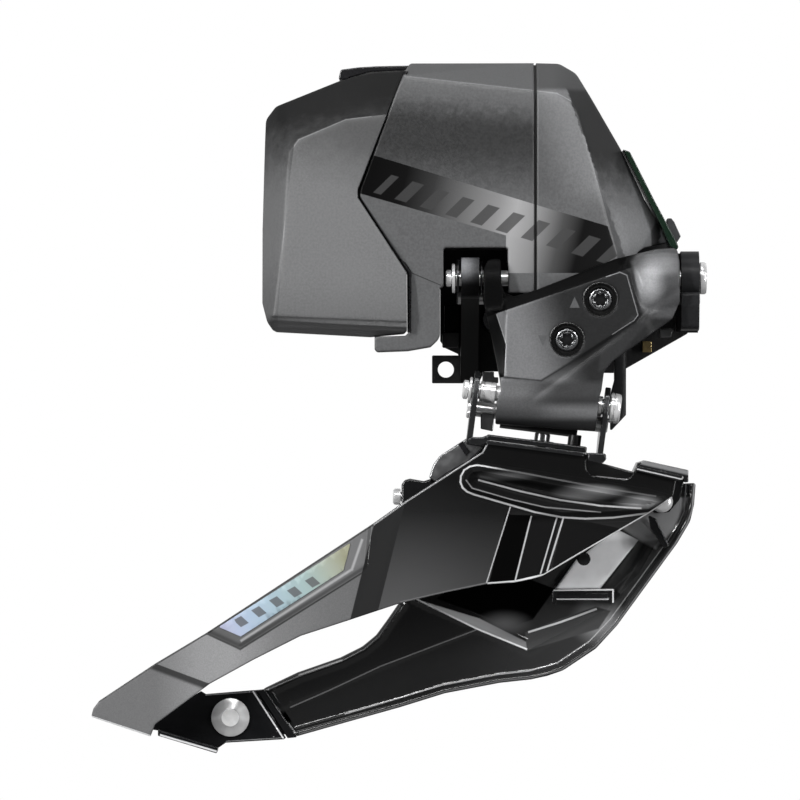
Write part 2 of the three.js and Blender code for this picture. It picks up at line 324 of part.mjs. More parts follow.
add('front_rivet', turned([27.67, 0, -30.67], Y, [[-28.0, 1.2], [-27.6, 1.9], [-27.2, 1.9], [-27.2, 1.02], [-24.9, 1.02], [-24.9, 1.8], [-24.4, 1.4]], FACET), STEEL, 0.15, 1);
add('chain_pad', prismY([[9.5, -45.33], [19.67, -45.33], [19.67, -47], [19, -47.83], [10.17, -47.83], [9.5, -47]], -28.0, -26.0), 0x0e0e0f, 0.5, 0);
const lp = (a) => loPoint(0, LOW_Y, 0);
add('lower_outer_pin', turned(loPoint(0, LOW_Y, 0), LOW_DIR, [[-4.4, 1.35], [-4.2, 1.6], [-3.5, 1.6], [-3.5, PIN_R], [20.3, PIN_R], [20.3, 2.5], [21.7, 2.5], [22.1, 2.2]], FACET), STEEL, 0.18, 1);
add('lower_pin_washer', tube(loPoint(0, LOW_Y, 0), LOW_DIR, -3.35, -2.9, 2.2, PIN_HOLE_R, FACET), STEEL, 0.2, 1);
add('lower_pin_roller', tube(loPoint(0, LOW_Y, 0), LOW_DIR, -1.5, 1.1, 1.75, PIN_HOLE_R, FACET), STEEL, 0.12, 1);
add('lower_pin_collar', tube(loPoint(0, LOW_Y, 0), LOW_DIR, 18.3, 19.0, 1.7, PIN_HOLE_R, FACET), STEEL, 0.2, 1);
add('lower_inner_pin', turned(loPoint(dropA, lowIn[0], dropC), LOW_DIR, [[-3.6, 1.7], [-2.9, 1.7], [-2.9, PIN_R], [20.0, PIN_R], [20.2, 1.1]], FACET), STEEL, 0.2, 1);
add('cage_screw', turned([-15.2, -27.2, -29.8], X, [[-2.1, 1.1], [-1.8, 1.35], [-0.8, 1.35], [-0.8, 0.8], [2.0, 0.8]], 12), STEEL, 0.2, 1);
add('cage_stop_screw', turned(loPoint(9.8, -31, -8.4), [SY, 0, CY], [[-1.6, 0.8], [0.6, 0.8], [0.6, 2.1], [1.5, 2.1], [1.5, 1.3], [2.7, 1.2]], 16), 0x77797b, 0.3, 1);
add('cage_stop_post', rod(loPoint(15.2, -31, -8.4), [SY, 0, CY], -1.2, 3.2, 1.1, 12), 0x4a4b4d, 0.4, 0.9);

// ------------------------------------------------------------------- battery
const battRing = (pts, y) => pts.map(([x, z]) => [x, y, z]);
{
  const sil = [[-15.4, 41.42], [-21.17, 41.08], [-26.33, 39.75], [-37, 35.5], [-38.33, 34.17], [-38.83, 32.17], [-39.17, 14.67], [-39.17, 2.17], [-38.5, -0.67], [-37.5, -2], [-21.17, -3], [-15.5, -2.42], [-15, -1.83], [-15.07, 7.53], [-23.2, 20.03], [-23.23, 21.33]];
  const face = [[-18.17, 34.33], [-21, 33.67], [-25.17, 33.17], [-33.17, 29.83], [-34.33, 28.67], [-34.83, 27], [-35.67, 13.83], [-37, 3], [-37.33, 0.5], [-36.83, 0.17], [-21.17, -1.17], [-15.5, -1.33], [-15.08, -1], [-15.13, 7.53], [-23.25, 20.03], [-23.28, 21.33]];
  const inb = [[-16, 39.67], [-21.5, 39], [-26.17, 38], [-35.83, 34.17], [-37, 33.17], [-37.5, 31.67], [-37.83, 14.67], [-37.83, 3], [-37.33, 0.33], [-36.5, -0.83], [-21.17, -1.83], [-15.83, -1.33], [-15.33, -0.83], [-15.4, 7.33], [-23.67, 19.83], [-23.67, 21.33]];
  let s = loft([battRing(inb, BATT_IN), battRing(sil, BATT_RIDGE), battRing(face, BATT_OUT)]);
  const cav = [[-17.83, 37], [-21.83, 36.67], [-25.83, 35.67], [-34.17, 32.33], [-35.17, 31.33], [-35.5, 29.67], [-36.17, 14.67], [-36.17, 3.67], [-35.67, 1.67], [-35.17, 0.83], [-21.17, -0.17], [-16.83, 0.17], [-16.5, 0.67], [-16.67, 6.67], [-24.67, 19.17], [-25, 21.33]];
  s = s.subtract(loft([battRing(cav, BATT_IN + 3), battRing(cav, -33)]));
  s = s.subtract(box([-16.8, -24.0, 0.8], [-14, -16.0, 5.2]));
  add('battery_shell', s, BATT, 0.6, 0.05);
  const lid = [[-18.17, 36.67], [-21.83, 36.33], [-25.67, 35.33], [-33.83, 32], [-34.67, 31.17], [-35.17, 29.67], [-35.83, 14.67], [-35.83, 3.67], [-35.33, 1.83], [-35, 1.17], [-21.17, 0.17], [-17.17, 0.5], [-16.83, 0.83], [-17, 6.33], [-25, 18.83], [-25.33, 21.33]];
  add('battery_lid', prismY(lid, BATT_IN - 1.4, BATT_IN - 0.1), BATT, 0.65, 0.05);
}
add('battery_cell_a', box([-34.5, -31.8, 2], [-27.6, -7.6, 28]), 0x9a9c9e, 0.4, 0.6);
add('battery_cell_b', box([-27.0, -31.8, 2], [-25.6, -7.6, 28]).add(box([-27.0, -31.8, 2], [-22, -7.6, 13])), 0x9a9c9e, 0.4, 0.6);
add('battery_terminals', box([-16.55, -23.7, 1.1], [-15.35, -16.3, 4.9]), 0x9c7f43, 0.35, 0.9);

// ---------------------------------------------------------- latch and button
{
  const arm = prismY([[-26.17, 41.83], [-20.17, 42.37], [-14.5, 42.53], [-13.17, 42], [-12.83, 40.83], [-13.67, 39.83], [-14.75, 40.33], [-15.17, 41.73], [-21.17, 41.43], [-24.83, 40.5], [-25.08, 40.17], [-26.42, 40.13]], -24.2, -14.2);
  add('latch_lever', arm.subtract(rod([latchAt[0], 0, latchAt[1]], Y, -30, -10, 0.6, 12)), 0x161718, 0.2, 0.6);
}
add('function_button', prismY([[27.33, 15.67], [28.3, 16.4], [28.33, 16.83], [29.5, 16.83], [31, 13.83], [30.5, 12.92], [29.58, 13.58], [28.5, 13.58]], -22.4, -17.6), 0x3c3e40, 0.35, 0.2);

export default group;
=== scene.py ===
import bpy, math
import numpy as np
from mathutils import Vector, Matrix, geometry as mgeo


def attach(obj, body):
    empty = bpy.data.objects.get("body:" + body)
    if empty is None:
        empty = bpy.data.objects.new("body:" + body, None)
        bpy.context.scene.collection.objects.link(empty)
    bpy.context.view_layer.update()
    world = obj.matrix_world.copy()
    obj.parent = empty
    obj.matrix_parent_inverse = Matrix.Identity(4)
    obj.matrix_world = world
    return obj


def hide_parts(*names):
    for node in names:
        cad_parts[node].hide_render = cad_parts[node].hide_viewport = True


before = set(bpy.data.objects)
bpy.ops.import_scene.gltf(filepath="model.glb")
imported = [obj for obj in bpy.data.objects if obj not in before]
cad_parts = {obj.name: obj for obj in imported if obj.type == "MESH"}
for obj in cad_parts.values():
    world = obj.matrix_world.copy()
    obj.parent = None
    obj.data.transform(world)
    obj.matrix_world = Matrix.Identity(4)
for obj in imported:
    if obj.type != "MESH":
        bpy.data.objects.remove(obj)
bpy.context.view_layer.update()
MM = 0.001
SC = bpy.context.scene

# ------------------------------------------------------------------ geometry
def arr(p): return np.asarray(p, float)

def round_poly(poly, r=0.0, n=5, radii=None):
    """Rounds the corners of a closed polygon. radii: {index: radius}."""
    P = [np.array(p[:2], float) for p in poly]; out = []
    for i, p in enumerate(P):
        rr = (radii or {}).get(i, r)
        a, b = P[i - 1] - p, P[(i + 1) % len(P)] - p
        la, lb = np.linalg.norm(a), np.linalg.norm(b)
        if rr <= 0 or la < 1e-6 or lb < 1e-6: out.append(p); continue
        a, b = a / la, b / lb
        ang = math.acos(max(-1, min(1, float(a @ b))))
        if ang > math.radians(172): out.append(p); continue
        t = min(rr / math.tan(ang / 2), la * 0.48, lb * 0.48); rr = t * math.tan(ang / 2)
        c = p + (a + b) / np.linalg.norm(a + b) * (rr / math.sin(ang / 2))
        s, e = p + a * t - c, p + b * t - c
        a0, a1 = math.atan2(s[1], s[0]), math.atan2(e[1], e[0])
        d = (a1 - a0 + math.pi) % (2 * math.pi) - math.pi
        k = max(2, min(n * 2, int(abs(d) / math.radians(12)) + 1))
        for j in range(k + 1): out.append(c + rr * np.array([math.cos(a0 + d * j / k), math.sin(a0 + d * j / k)]))
    return [tuple(q) for q in out]

def resample(poly, step, closed=True):
    P = [np.array(p, float) for p in poly]; out = []
    m = len(P) if closed else len(P) - 1
    for i in range(m):
        a, b = P[i], P[(i + 1) % len(P)]; l = np.linalg.norm(b - a)
        if l < 1e-5: continue
        k = max(1, int(round(l / step)))
        for j in range(k): out.append(a + (b - a) * j / k)
    if not closed: out.append(P[-1])
    return np.array(out)

def dist_to(P, poly, closed=True):
    """Distance from every point of P to a polyline."""
    Q = arr(poly); A = Q if closed else Q[:-1]; B = np.roll(Q, -1, 0) if closed else Q[1:]
    best = np.full(len(P), 1e9)
    for a, b in zip(A, B):
        d = b - a; L = d @ d
        if L < 1e-12: continue
        t = np.clip(((P - a) @ d) / L, 0, 1)
        q = P - (a + t[:, None] * d)
        best = np.minimum(best, np.einsum('ij,ij->i', q, q))
    return np.sqrt(best)

def inside(P, poly):
    Q = arr(poly); c = np.zeros(len(P), bool); j = len(Q) - 1
    for i in range(len(Q)):
        xi, zi = Q[i]; xj, zj = Q[j]
        with np.errstate(divide='ignore', invalid='ignore'):
            hit = ((zi > P[:, 1]) != (zj > P[:, 1])) & (P[:, 0] < (xj - xi) * (P[:, 1] - zi) / (zj - zi + 1e-30) + xi)
        c ^= hit; j = i
    return c

def sdf(P, poly): return np.where(inside(P, poly), -1, 1) * dist_to(P, poly)
def softplus(x, w=0.15): return w * np.logaddexp(0, x / w)
def step(x, a, b):
    t = np.clip((x - a) / (b - a), 0, 1); return t * t * (3 - 2 * t)
def side(P, a, b):
    """Signed distance to the line a->b, positive on its left."""
    a, b = arr(a), arr(b); d = (b - a) / np.linalg.norm(b - a)
    return -(P[:, 0] - a[0]) * d[1] + (P[:, 1] - a[1]) * d[0]
def smax(a, b, w=0.1): return w * np.logaddexp(a / w, b / w)
def smin(a, b, w=0.1): return -smax(-a, -b, w)

def finish_mesh(name, verts, faces, mat, body, replaces=(), angle=38, smooth=True):
    me = bpy.data.meshes.new(name)
    me.from_pydata([tuple(v) for v in (arr(verts) * MM)], [], faces)
    me.validate(); me.update()
    ob = bpy.data.objects.new(name, me); SC.collection.objects.link(ob)
    me.materials.append(mat)
    if smooth:
        me.polygons.foreach_set('use_smooth', [True] * len(me.polygons))
        me.set_sharp_from_angle(angle=math.radians(angle))
    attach(ob, body)
    if replaces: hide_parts(*replaces)
    return ob

def relief(name, outline, front, back, mat, body, replaces=(), holes=(), grid=0.7, edge=0.4, rf=0.25, rb=0.25, creases=(), beads=(), angle=38, crease_step=0.25):
    """A solid whose front (-Y) and back surfaces are height functions of x and z over an outline."""
    loops = [resample(outline, edge)] + [resample(h, min(edge, 0.2)) for h in holes]
    lines = [list(map(tuple, l)) for l in ([outline] + list(holes))]
    def rim(P):
        d = dist_to(P, lines[0])
        for h in lines[1:]: d = np.minimum(d, dist_to(P, h))
        return d
    def within(P):
        m = inside(P, lines[0])
        for h in lines[1:]: m &= ~inside(P, h)
        return m
    pts = []
    rmax = max(rf, rb)
    for L in loops:
        nx = np.roll(L, -1, 0) - np.roll(L, 1, 0); nx /= np.maximum(np.linalg.norm(nx, axis=1), 1e-9)[:, None]
        nrm = np.stack([-nx[:, 1], nx[:, 0]], 1)
        for o in ([rmax * (1 - math.cos(math.radians(a))) for a in (25, 45, 65, 90)] if rmax > 0 else []):
            for sgn in (1, -1):
                Q = L + nrm * o * sgn
                Q = Q[within(Q)]
                if len(Q): pts.append(Q[rim(Q) > o * 0.93])
    for c in creases:
        Q = resample(c, crease_step, closed=False)
        for o in (-0.12, 0, 0.12):
            t = np.gradient(Q, axis=0); t /= np.maximum(np.linalg.norm(t, axis=1), 1e-9)[:, None]
            R = Q + np.stack([-t[:, 1], t[:, 0]], 1) * o
            R = R[within(R)]
            if len(R): pts.append(R[rim(R) > max(rmax * 0.5, 0.06)])
    for line, closed, offs in beads:
        Q = resample(line, 0.24, closed=closed)
        t = (np.roll(Q, -1, 0) - np.roll(Q, 1, 0)) if closed else np.gradient(Q, axis=0)
        t /= np.maximum(np.linalg.norm(t, axis=1), 1e-9)[:, None]; nn = np.stack([-t[:, 1], t[:, 0]], 1)
        for o in offs:
            for sgn in (1, -1):
                R = Q + nn * abs(o) * sgn
                if closed: R = R[(sdf(R, line) < 0) == (o < 0)]
                if len(R): R = R[dist_to(R, line, closed) > abs(o) * 0.93]
                if len(R): R = R[within(R)]
                if len(R): pts.append(R[rim(R) > max(rmax * 0.5, 0.06)])
    lo, hi = arr(outline).min(0), arr(outline).max(0)
    gx, gz = np.arange(lo[0], hi[0], grid), np.arange(lo[1], hi[1], grid * 0.87)
    G = np.array([(x + (grid / 2 if k % 2 else 0), z) for k, z in enumerate(gz) for x in gx])
    G = G[within(G)]
    if len(G): G = G[rim(G) > rmax + grid * 0.25]
    for line, closed, offs in beads:
        if not len(G): break
        sd = sdf(G, line) if closed else -dist_to(G, line, False)
        lo_, hi_ = (min(offs) - 0.2, max(offs) + 0.2) if closed else (-max(abs(o) for o in offs) - 0.2, 1)
        G = G[(sd < lo_) | (sd > hi_)]
    pts.append(G)
    extra = np.concatenate([p for p in pts if len(p)]) if any(len(p) for p in pts) else np.zeros((0, 2))
    if len(extra):   # thin out near-duplicates
        key = np.round(extra / 0.05).astype(int); _, idx = np.unique(key, axis=0, return_index=True); extra = extra[np.sort(idx)]
    V, E = [], []
    for L in loops:
        s = len(V); V += [tuple(p) for p in L]; n = len(L)
        E += [(s + i, s + (i + 1) % n) for i in range(n)]
    V += [tuple(p) for p in extra]
    res = mgeo.delaunay_2d_cdt([Vector(v) for v in V], E, [], 0, 1e-5)
    W = np.array([tuple(v) for v in res[0]]); F = [f for f in res[2]]
    T = np.array([f for f in F if len(f) == 3])
    C = W[T].mean(1); T = T[within(C)]
    used = np.unique(T); remap = -np.ones(len(W), int); remap[used] = np.arange(len(used)); W = W[used]; T = remap[T]
    a = W[T]; area = (a[:, 1, 0] - a[:, 0, 0]) * (a[:, 2, 1] - a[:, 0, 1]) - (a[:, 1, 1] - a[:, 0, 1]) * (a[:, 2, 0] - a[:, 0, 0])
    T[area < 0] = T[area < 0][:, ::-1]
    d = rim(W)
    def fillet(r): return np.where(d < r, r - np.sqrt(np.maximum(r * r - (r - d) ** 2, 0)), 0) if r > 0 else np.zeros(len(W))
    yf = front(W) + fillet(rf); yb = back(W) - fillet(rb) if callable(back) else np.full(len(W), float(back)) - fillet(rb)
    yb = np.maximum(yb, yf + 0.05)
    n = len(W)
    verts = np.concatenate([np.stack([W[:, 0], yf, W[:, 1]], 1), np.stack([W[:, 0], yb, W[:, 1]], 1)])
    cnt = {}
    for t in T:
        for i in range(3):
            e = (t[i], t[(i + 1) % 3]); cnt[e] = 1
    walls = [(e[0], e[0] + n, e[1] + n, e[1]) for e in cnt if (e[1], e[0]) not in cnt]
    faces = [tuple(map(int, t)) for t in T] + [tuple(int(q + n) for q in t[::-1]) for t in T] + [tuple(int(q) for q in w) for w in walls]
    return finish_mesh(name, verts, faces, mat, body, replaces, angle)

def frame_of(d):
    D = Vector(d).normalized(); A = Vector((1, 0, 0)) if abs(D.z) > 0.9 else Vector((0, 0, 1))
    U = A.cross(D).normalized(); return D, U, D.cross(U)

def turned(name, p, d, prof, mat, body, replaces=(), n=56, angle=35, bore=None):
    """Solid of revolution from [(along, radius), ...]; bore adds a through hole of that radius."""
    D, U, V = frame_of(d); P0 = Vector(p); rings = []
    pr = list(prof)
    if bore: pr = pr + [(pr[-1][0], bore), (pr[0][0], bore)]
    verts, faces = [], []
    for t, r in pr:
        if r < 1e-6: verts.append(P0 + D * t); rings.append([len(verts) - 1]); continue
        s = len(verts)
        for i in range(n):
            q = 2 * math.pi * i / n
            verts.append(P0 + D * t + U * (math.cos(q) * r) + V * (math.sin(q) * r))
        rings.append(list(range(s, s + n)))
    seq = rings + ([rings[0]] if bore else [])
    for a, b in zip(seq[:-1], seq[1:]):
        if len(a) == 1 and len(b) == 1: continue
        for i in range(n):
            j = (i + 1) % n
            if len(a) == 1: faces.append((a[0], b[j], b[i]))
            elif len(b) == 1: faces.append((a[i], a[j], b[0]))
            else: faces.append((a[i], a[j], b[j], b[i]))
    if not bore:
        if len(rings[0]) > 1: faces.append(tuple(reversed(rings[0])))
        if len(rings[-1]) > 1: faces.append(tuple(rings[-1]))
    ob = finish_mesh(name, [tuple(v) for v in verts], faces, mat, body, replaces, angle)
    import bmesh
    bm = bmesh.new(); bm.from_mesh(ob.data); bmesh.ops.recalc_face_normals(bm, faces=bm.faces); bm.to_mesh(ob.data); bm.free()
    return ob

def extrude(name, outline, along, mat, body, replaces=(), bevel=0.25, seg=3, map3=None, holes=(), angle=30):
    """Prism of an outline between two values, placed by map3(u, v, t)."""
    loops = [list(outline)] + [list(h) for h in holes]
    V, E = [], []
    for L in loops:
        s = len(V); V += [tuple(p) for p in L]; n = len(L); E += [(s + i, s + (i + 1) % n) for i in range(n)]
    res = mgeo.delaunay_2d_cdt([Vector(v) for v in V], E, [], 0, 1e-6)
    W = np.array([tuple(v) for v in res[0]]); T = np.array([f for f in res[2] if len(f) == 3]); C = W[T].mean(1)
    m = inside(C, outline)
    for h in holes: m &= ~inside(C, h)
    T = T[m]; n = len(W)
    cnt = {}
    for t in T:
        for i in range(3): cnt[(int(t[i]), int(t[(i + 1) % 3]))] = 1
    walls = [(e[0], e[0] + n, e[1] + n, e[1]) for e in cnt if (e[1], e[0]) not in cnt]
    verts = [map3(u, v, along[0]) for u, v in W] + [map3(u, v, along[1]) for u, v in W]
    faces = [tuple(map(int, t)) for t in T] + [tuple(int(q + n) for q in t[::-1]) for t in T] + walls
    ob = finish_mesh(name, verts, faces, mat, body, replaces, 180)
    import bmesh
    bm = bmesh.new(); bm.from_mesh(ob.data)
    bmesh.ops.recalc_face_normals(bm, faces=bm.faces)
    if not holes: bmesh.ops.dissolve_limit(bm, angle_limit=math.radians(1.0), verts=bm.verts, edges=bm.edges)
    bm.to_mesh(ob.data); bm.free()
    if bevel > 0:
        mod = ob.modifiers.new('bevel', 'BEVEL'); mod.width = bevel * MM; mod.segments = seg; mod.limit_method = 'ANGLE'; mod.angle_limit = math.radians(angle); mod.harden_normals = False
    ob.data.polygons.foreach_set('use_smooth', [True] * len(ob.data.polygons))
    wn = ob.modifiers.new('wn', 'WEIGHTED_NORMAL'); wn.keep_sharp = True
    return ob

inY = lambda u, v, t: (u, t, v)
inX = lambda u, v, t: (t, u, v)
PHI = math.radians(7.2); CYW, SYW = math.cos(PHI), math.sin(PHI)
LOW = (-1.33, -35.2, -12.4); LOW_DIR = (CYW, 0, -SYW)
def lo3(a, b, c): return (LOW[0] + a * CYW + c * SYW, b, LOW[2] - a * SYW + c * CYW)
inLow = lambda u, v, t: lo3(t, u, v)      # outline in (Y, c), thickness along the pivot
inLowY = lambda u, v, t: lo3(u, t, v)     # outline in (a, c), thickness along Y
def circle(cx, cz, r, n=40): return [(cx + r * math.cos(2 * math.pi * i / n), cz + r * math.sin(2 * math.pi * i / n)) for i in range(n)]
def arc(cx, cz, r, d0, d1, n): return [(cx + r * math.cos(math.radians(d0 + (d1 - d0) * i / n)), cz + r * math.sin(math.radians(d0 + (d1 - d0) * i / n))) for i in range(n + 1)]

# ----------------------------------------------------------------- materials
class N:
    """Small helper for building a node tree."""
    def __init__(s, name):
        s.m = bpy.data.materials.new(name); s.m.use_nodes = True; s.t = s.m.node_tree; s.t.nodes.clear()
        s.out = s.t.nodes.new('ShaderNodeOutputMaterial'); s.b = s.t.nodes.new('ShaderNodeBsdfPrincipled')
        s.t.links.new(s.b.outputs[0], s.out.inputs[0])
        s.co = s.t.nodes.new('ShaderNodeTexCoord').outputs['Object']
        s.mm = s.vec('SCALE', s.co, scale=1000.0)
    def node(s, k, **kw):
        n = s.t.nodes.new(k)
        for a, v in kw.items(): setattr(n, a, v)
        return n
    def put(s, sock, v):
        if isinstance(v, bpy.types.NodeSocket): s.t.links.new(v, sock)
        else: sock.default_value = v
    def math(s, op, a, b=0.0, c=0.0, clamp=False):
        n = s.node('ShaderNodeMath', operation=op, use_clamp=clamp)
        s.put(n.inputs[0], a); s.put(n.inputs[1], b); s.put(n.inputs[2], c); return n.outputs[0]
    def vec(s, op, a, b=None, scale=None):
        n = s.node('ShaderNodeVectorMath', operation=op); s.put(n.inputs[0], a)
        if b is not None: s.put(n.inputs[1], b)
        if scale is not None: s.put(n.inputs['Scale'], scale)
        return n.outputs['Value'] if op in ('DOT_PRODUCT', 'LENGTH', 'DISTANCE') else n.outputs[0]
    def noise(s, scale, detail=2.0, rough=0.5, vec=None, dist=0.0):
        n = s.node('ShaderNodeTexNoise'); s.put(n.inputs['Vector'], vec or s.mm); s.put(n.inputs['Scale'], scale); s.put(n.inputs['Detail'], detail); s.put(n.inputs['Roughness'], rough); s.put(n.inputs['Distortion'], dist)
        return n.outputs['Fac']
    def ramp(s, v, a, b, lo=0.0, hi=1.0, smooth=True):
        n = s.node('ShaderNodeMapRange', interpolation_type='SMOOTHSTEP' if smooth else 'LINEAR')
        s.put(n.inputs['Value'], v); n.inputs['From Min'].default_value = a; n.inputs['From Max'].default_value = b; n.inputs['To Min'].default_value = lo; n.inputs['To Max'].default_value = hi
        return n.outputs[0]
    def mix(s, f, a, b):
        n = s.node('ShaderNodeMix', data_type='RGBA'); s.put(n.inputs[0], f)
        s.put(n.inputs[6], a if isinstance(a, bpy.types.NodeSocket) else (*a, 1)); s.put(n.inputs[7], b if isinstance(b, bpy.types.NodeSocket) else (*b, 1)); return n.outputs[2]
    def mixf(s, f, a, b):
        n = s.node('ShaderNodeMix', data_type='FLOAT'); s.put(n.inputs[0], f); s.put(n.inputs[2], a); s.put(n.inputs[3], b); return n.outputs[0]
    def colors(s, v, stops):
        n = s.node('ShaderNodeValToRGB'); s.put(n.inputs[0], v); cr = n.color_ramp
        while len(cr.elements) > 1: cr.elements.remove(cr.elements[-1])
        cr.elements[0].position = stops[0][0]; cr.elements[0].color = (*stops[0][1], 1)
        for p, c in stops[1:]: e = cr.elements.new(p); e.color = (*c, 1)
        return n.outputs[0]
    def poly(s, pts, soft=0.04):
        """Mask of a convex polygon in the x-z plane, in mm."""
        A = arr(pts); ar = np.sum(A[:, 0] * np.roll(A[:, 1], -1) - np.roll(A[:, 0], -1) * A[:, 1])
        if ar < 0: A = A[::-1]
        acc = None
        for p, q in zip(A, np.roll(A, -1, 0)):
            d = (q - p) / np.linalg.norm(q - p); nx, nz = -d[1], d[0]
            v = s.math('SUBTRACT', s.vec('DOT_PRODUCT', s.mm, (nx, 0, nz)), float(nx * p[0] + nz * p[1]))
            acc = v if acc is None else s.math('MINIMUM', acc, v)
        return s.ramp(acc, -soft, soft)
    def blob(s, cx, cz, rx, rz, lo=0.0, hi=1.0):
        """Soft round spot in the x-z plane, in mm."""
        d = s.vec('LENGTH', s.vec('MULTIPLY', s.vec('SUBTRACT', s.mm, (cx, 0, cz)), (1 / rx, 0, 1 / rz)))
        return s.ramp(d, 1.0, 0.0, lo, hi)
    def line(s, pts, w, soft=0.06):
        """Mask of a thin band along a polyline in the x-z plane, in mm."""
        acc = None
        for p, q in zip(pts[:-1], pts[1:]):
            p, q = arr(p), arr(q); L = float(np.linalg.norm(q - p)); d = (q - p) / L
            u = s.math('SUBTRACT', s.vec('DOT_PRODUCT', s.mm, (float(d[0]), 0, float(d[1]))), float(p @ d))
            v = s.math('ABSOLUTE', s.math('SUBTRACT', s.vec('DOT_PRODUCT', s.mm, (float(-d[1]), 0, float(d[0]))), float(-d[1] * p[0] + d[0] * p[1])))
            e = s.math('MAXIMUM', v, s.math('SUBTRACT', s.math('ABSOLUTE', s.math('SUBTRACT', u, L / 2)), L / 2))
            acc = e if acc is None else s.math('MINIMUM', acc, e)
        return s.ramp(acc, w + soft, max(w - soft, 0.0))
    def above(s, p, q, w=0.06, off=0.0):
        """1 on the left of the line p->q in the x-z plane."""
        d = arr(q) - arr(p); d /= np.linalg.norm(d); nx, nz = float(-d[1]), float(d[0])
        return s.ramp(s.math('SUBTRACT', s.vec('DOT_PRODUCT', s.mm, (nx, 0, nz)), nx * p[0] + nz * p[1] + off), -w, w)
    def times(s, col, k):
        n = s.node('ShaderNodeVectorMath', operation='SCALE'); s.put(n.inputs[0], col); s.put(n.inputs['Scale'], k); return n.outputs[0]
    @property
    def x(s): return s.vec('DOT_PRODUCT', s.mm, (1, 0, 0))
    @property
    def z(s): return s.vec('DOT_PRODUCT', s.mm, (0, 0, 1))
    def bump(s, h, strength=0.2, dist=0.05, normal=None):
        n = s.node('ShaderNodeBump'); n.inputs['Strength'].default_value = strength; n.inputs['Distance'].default_value = dist * MM
        s.put(n.inputs['Height'], h)
        if normal: s.put(n.inputs['Normal'], normal)
        return n.outputs[0]
    def set(s, **kw):
        names = dict(base='Base Color', rough='Roughness', metal='Metallic', ior='IOR', coat='Coat Weight', coat_rough='Coat Roughness', normal='Normal', aniso='Anisotropic', spec='Specular IOR Level', emit='Emission Color', emit_s='Emission Strength', sheen='Sheen Weight', film='Thin Film Thickness')
        for k, v in kw.items():
            i = s.b.inputs[names[k]]
            if k in ('base', 'emit') and not isinstance(v, bpy.types.NodeSocket): v = (*v, 1)
            s.put(i, v)
        return s.m

def plastic(name, base, var=0.12, rough=0.46, grain=2.6, bumps=0.35, extra=None, spec=0.5):
    s = N(name)
    f = s.noise(grain, 2.5, 0.6); big = s.noise(0.09, 2, 0.5)
    col = s.mix(s.ramp(f, 0.3, 0.7), tuple(c * (1 - var) for c in base), tuple(c * (1 + var) for c in base))
    col = s.mix(s.ramp(big, 0.35, 0.65, 0, 0.25), col, tuple(c * 1.15 for c in base))
    r = s.math('ADD', s.ramp(f, 0.3, 0.7, -0.05, 0.05), rough)
    fine = s.noise(grain * 2.2, 2, 0.6)
    h = s.math('ADD', s.math('MULTIPLY', f, 0.6), s.math('MULTIPLY', fine, 0.4))
    s.set(base=col, rough=r, metal=0.0, spec=spec, normal=s.bump(h, bumps, 0.03))
    if extra: extra(s, col, r)
    return s.m

def coated(name, base, rough=0.2, metal=0.6, coat=0.5, coat_rough=0.06, var=0.1, bumps=0.02, grain=3.0, spec=0.5, extra=None):
    s = N(name)
    f = s.noise(0.5, 3, 0.55); g = s.noise(grain, 2, 0.5)
    col = s.mix(s.ramp(f, 0.3, 0.7), tuple(c * (1 - var) for c in base), tuple(c * (1 + var) for c in base))
    r = s.math('ADD', s.ramp(f, 0.35, 0.65, -0.02, 0.02), rough)
    s.set(base=col, rough=r, metal=metal, coat=coat, coat_rough=coat_rough, spec=spec, normal=s.bump(g, bumps, 0.02))
    if extra: extra(s, col, r)
    return s.m

def steel(name, base=(0.62, 0.625, 0.63), rough=0.16, var=0.06, scratch=6.0, bumps=0.03, metal=1.0):
    s = N(name)
    f = s.noise(scratch, 2, 0.5); g = s.noise(0.8, 2, 0.5)
    col = s.mix(s.ramp(g, 0.3, 0.7), tuple(c * (1 - var) for c in base), tuple(min(1, c * (1 + var)) for c in base))
    s.set(base=col, rough=s.math('ADD', s.ramp(g, 0.3, 0.7, -0.03, 0.04), rough), metal=metal, normal=s.bump(f, bumps, 0.01))
    return s.m

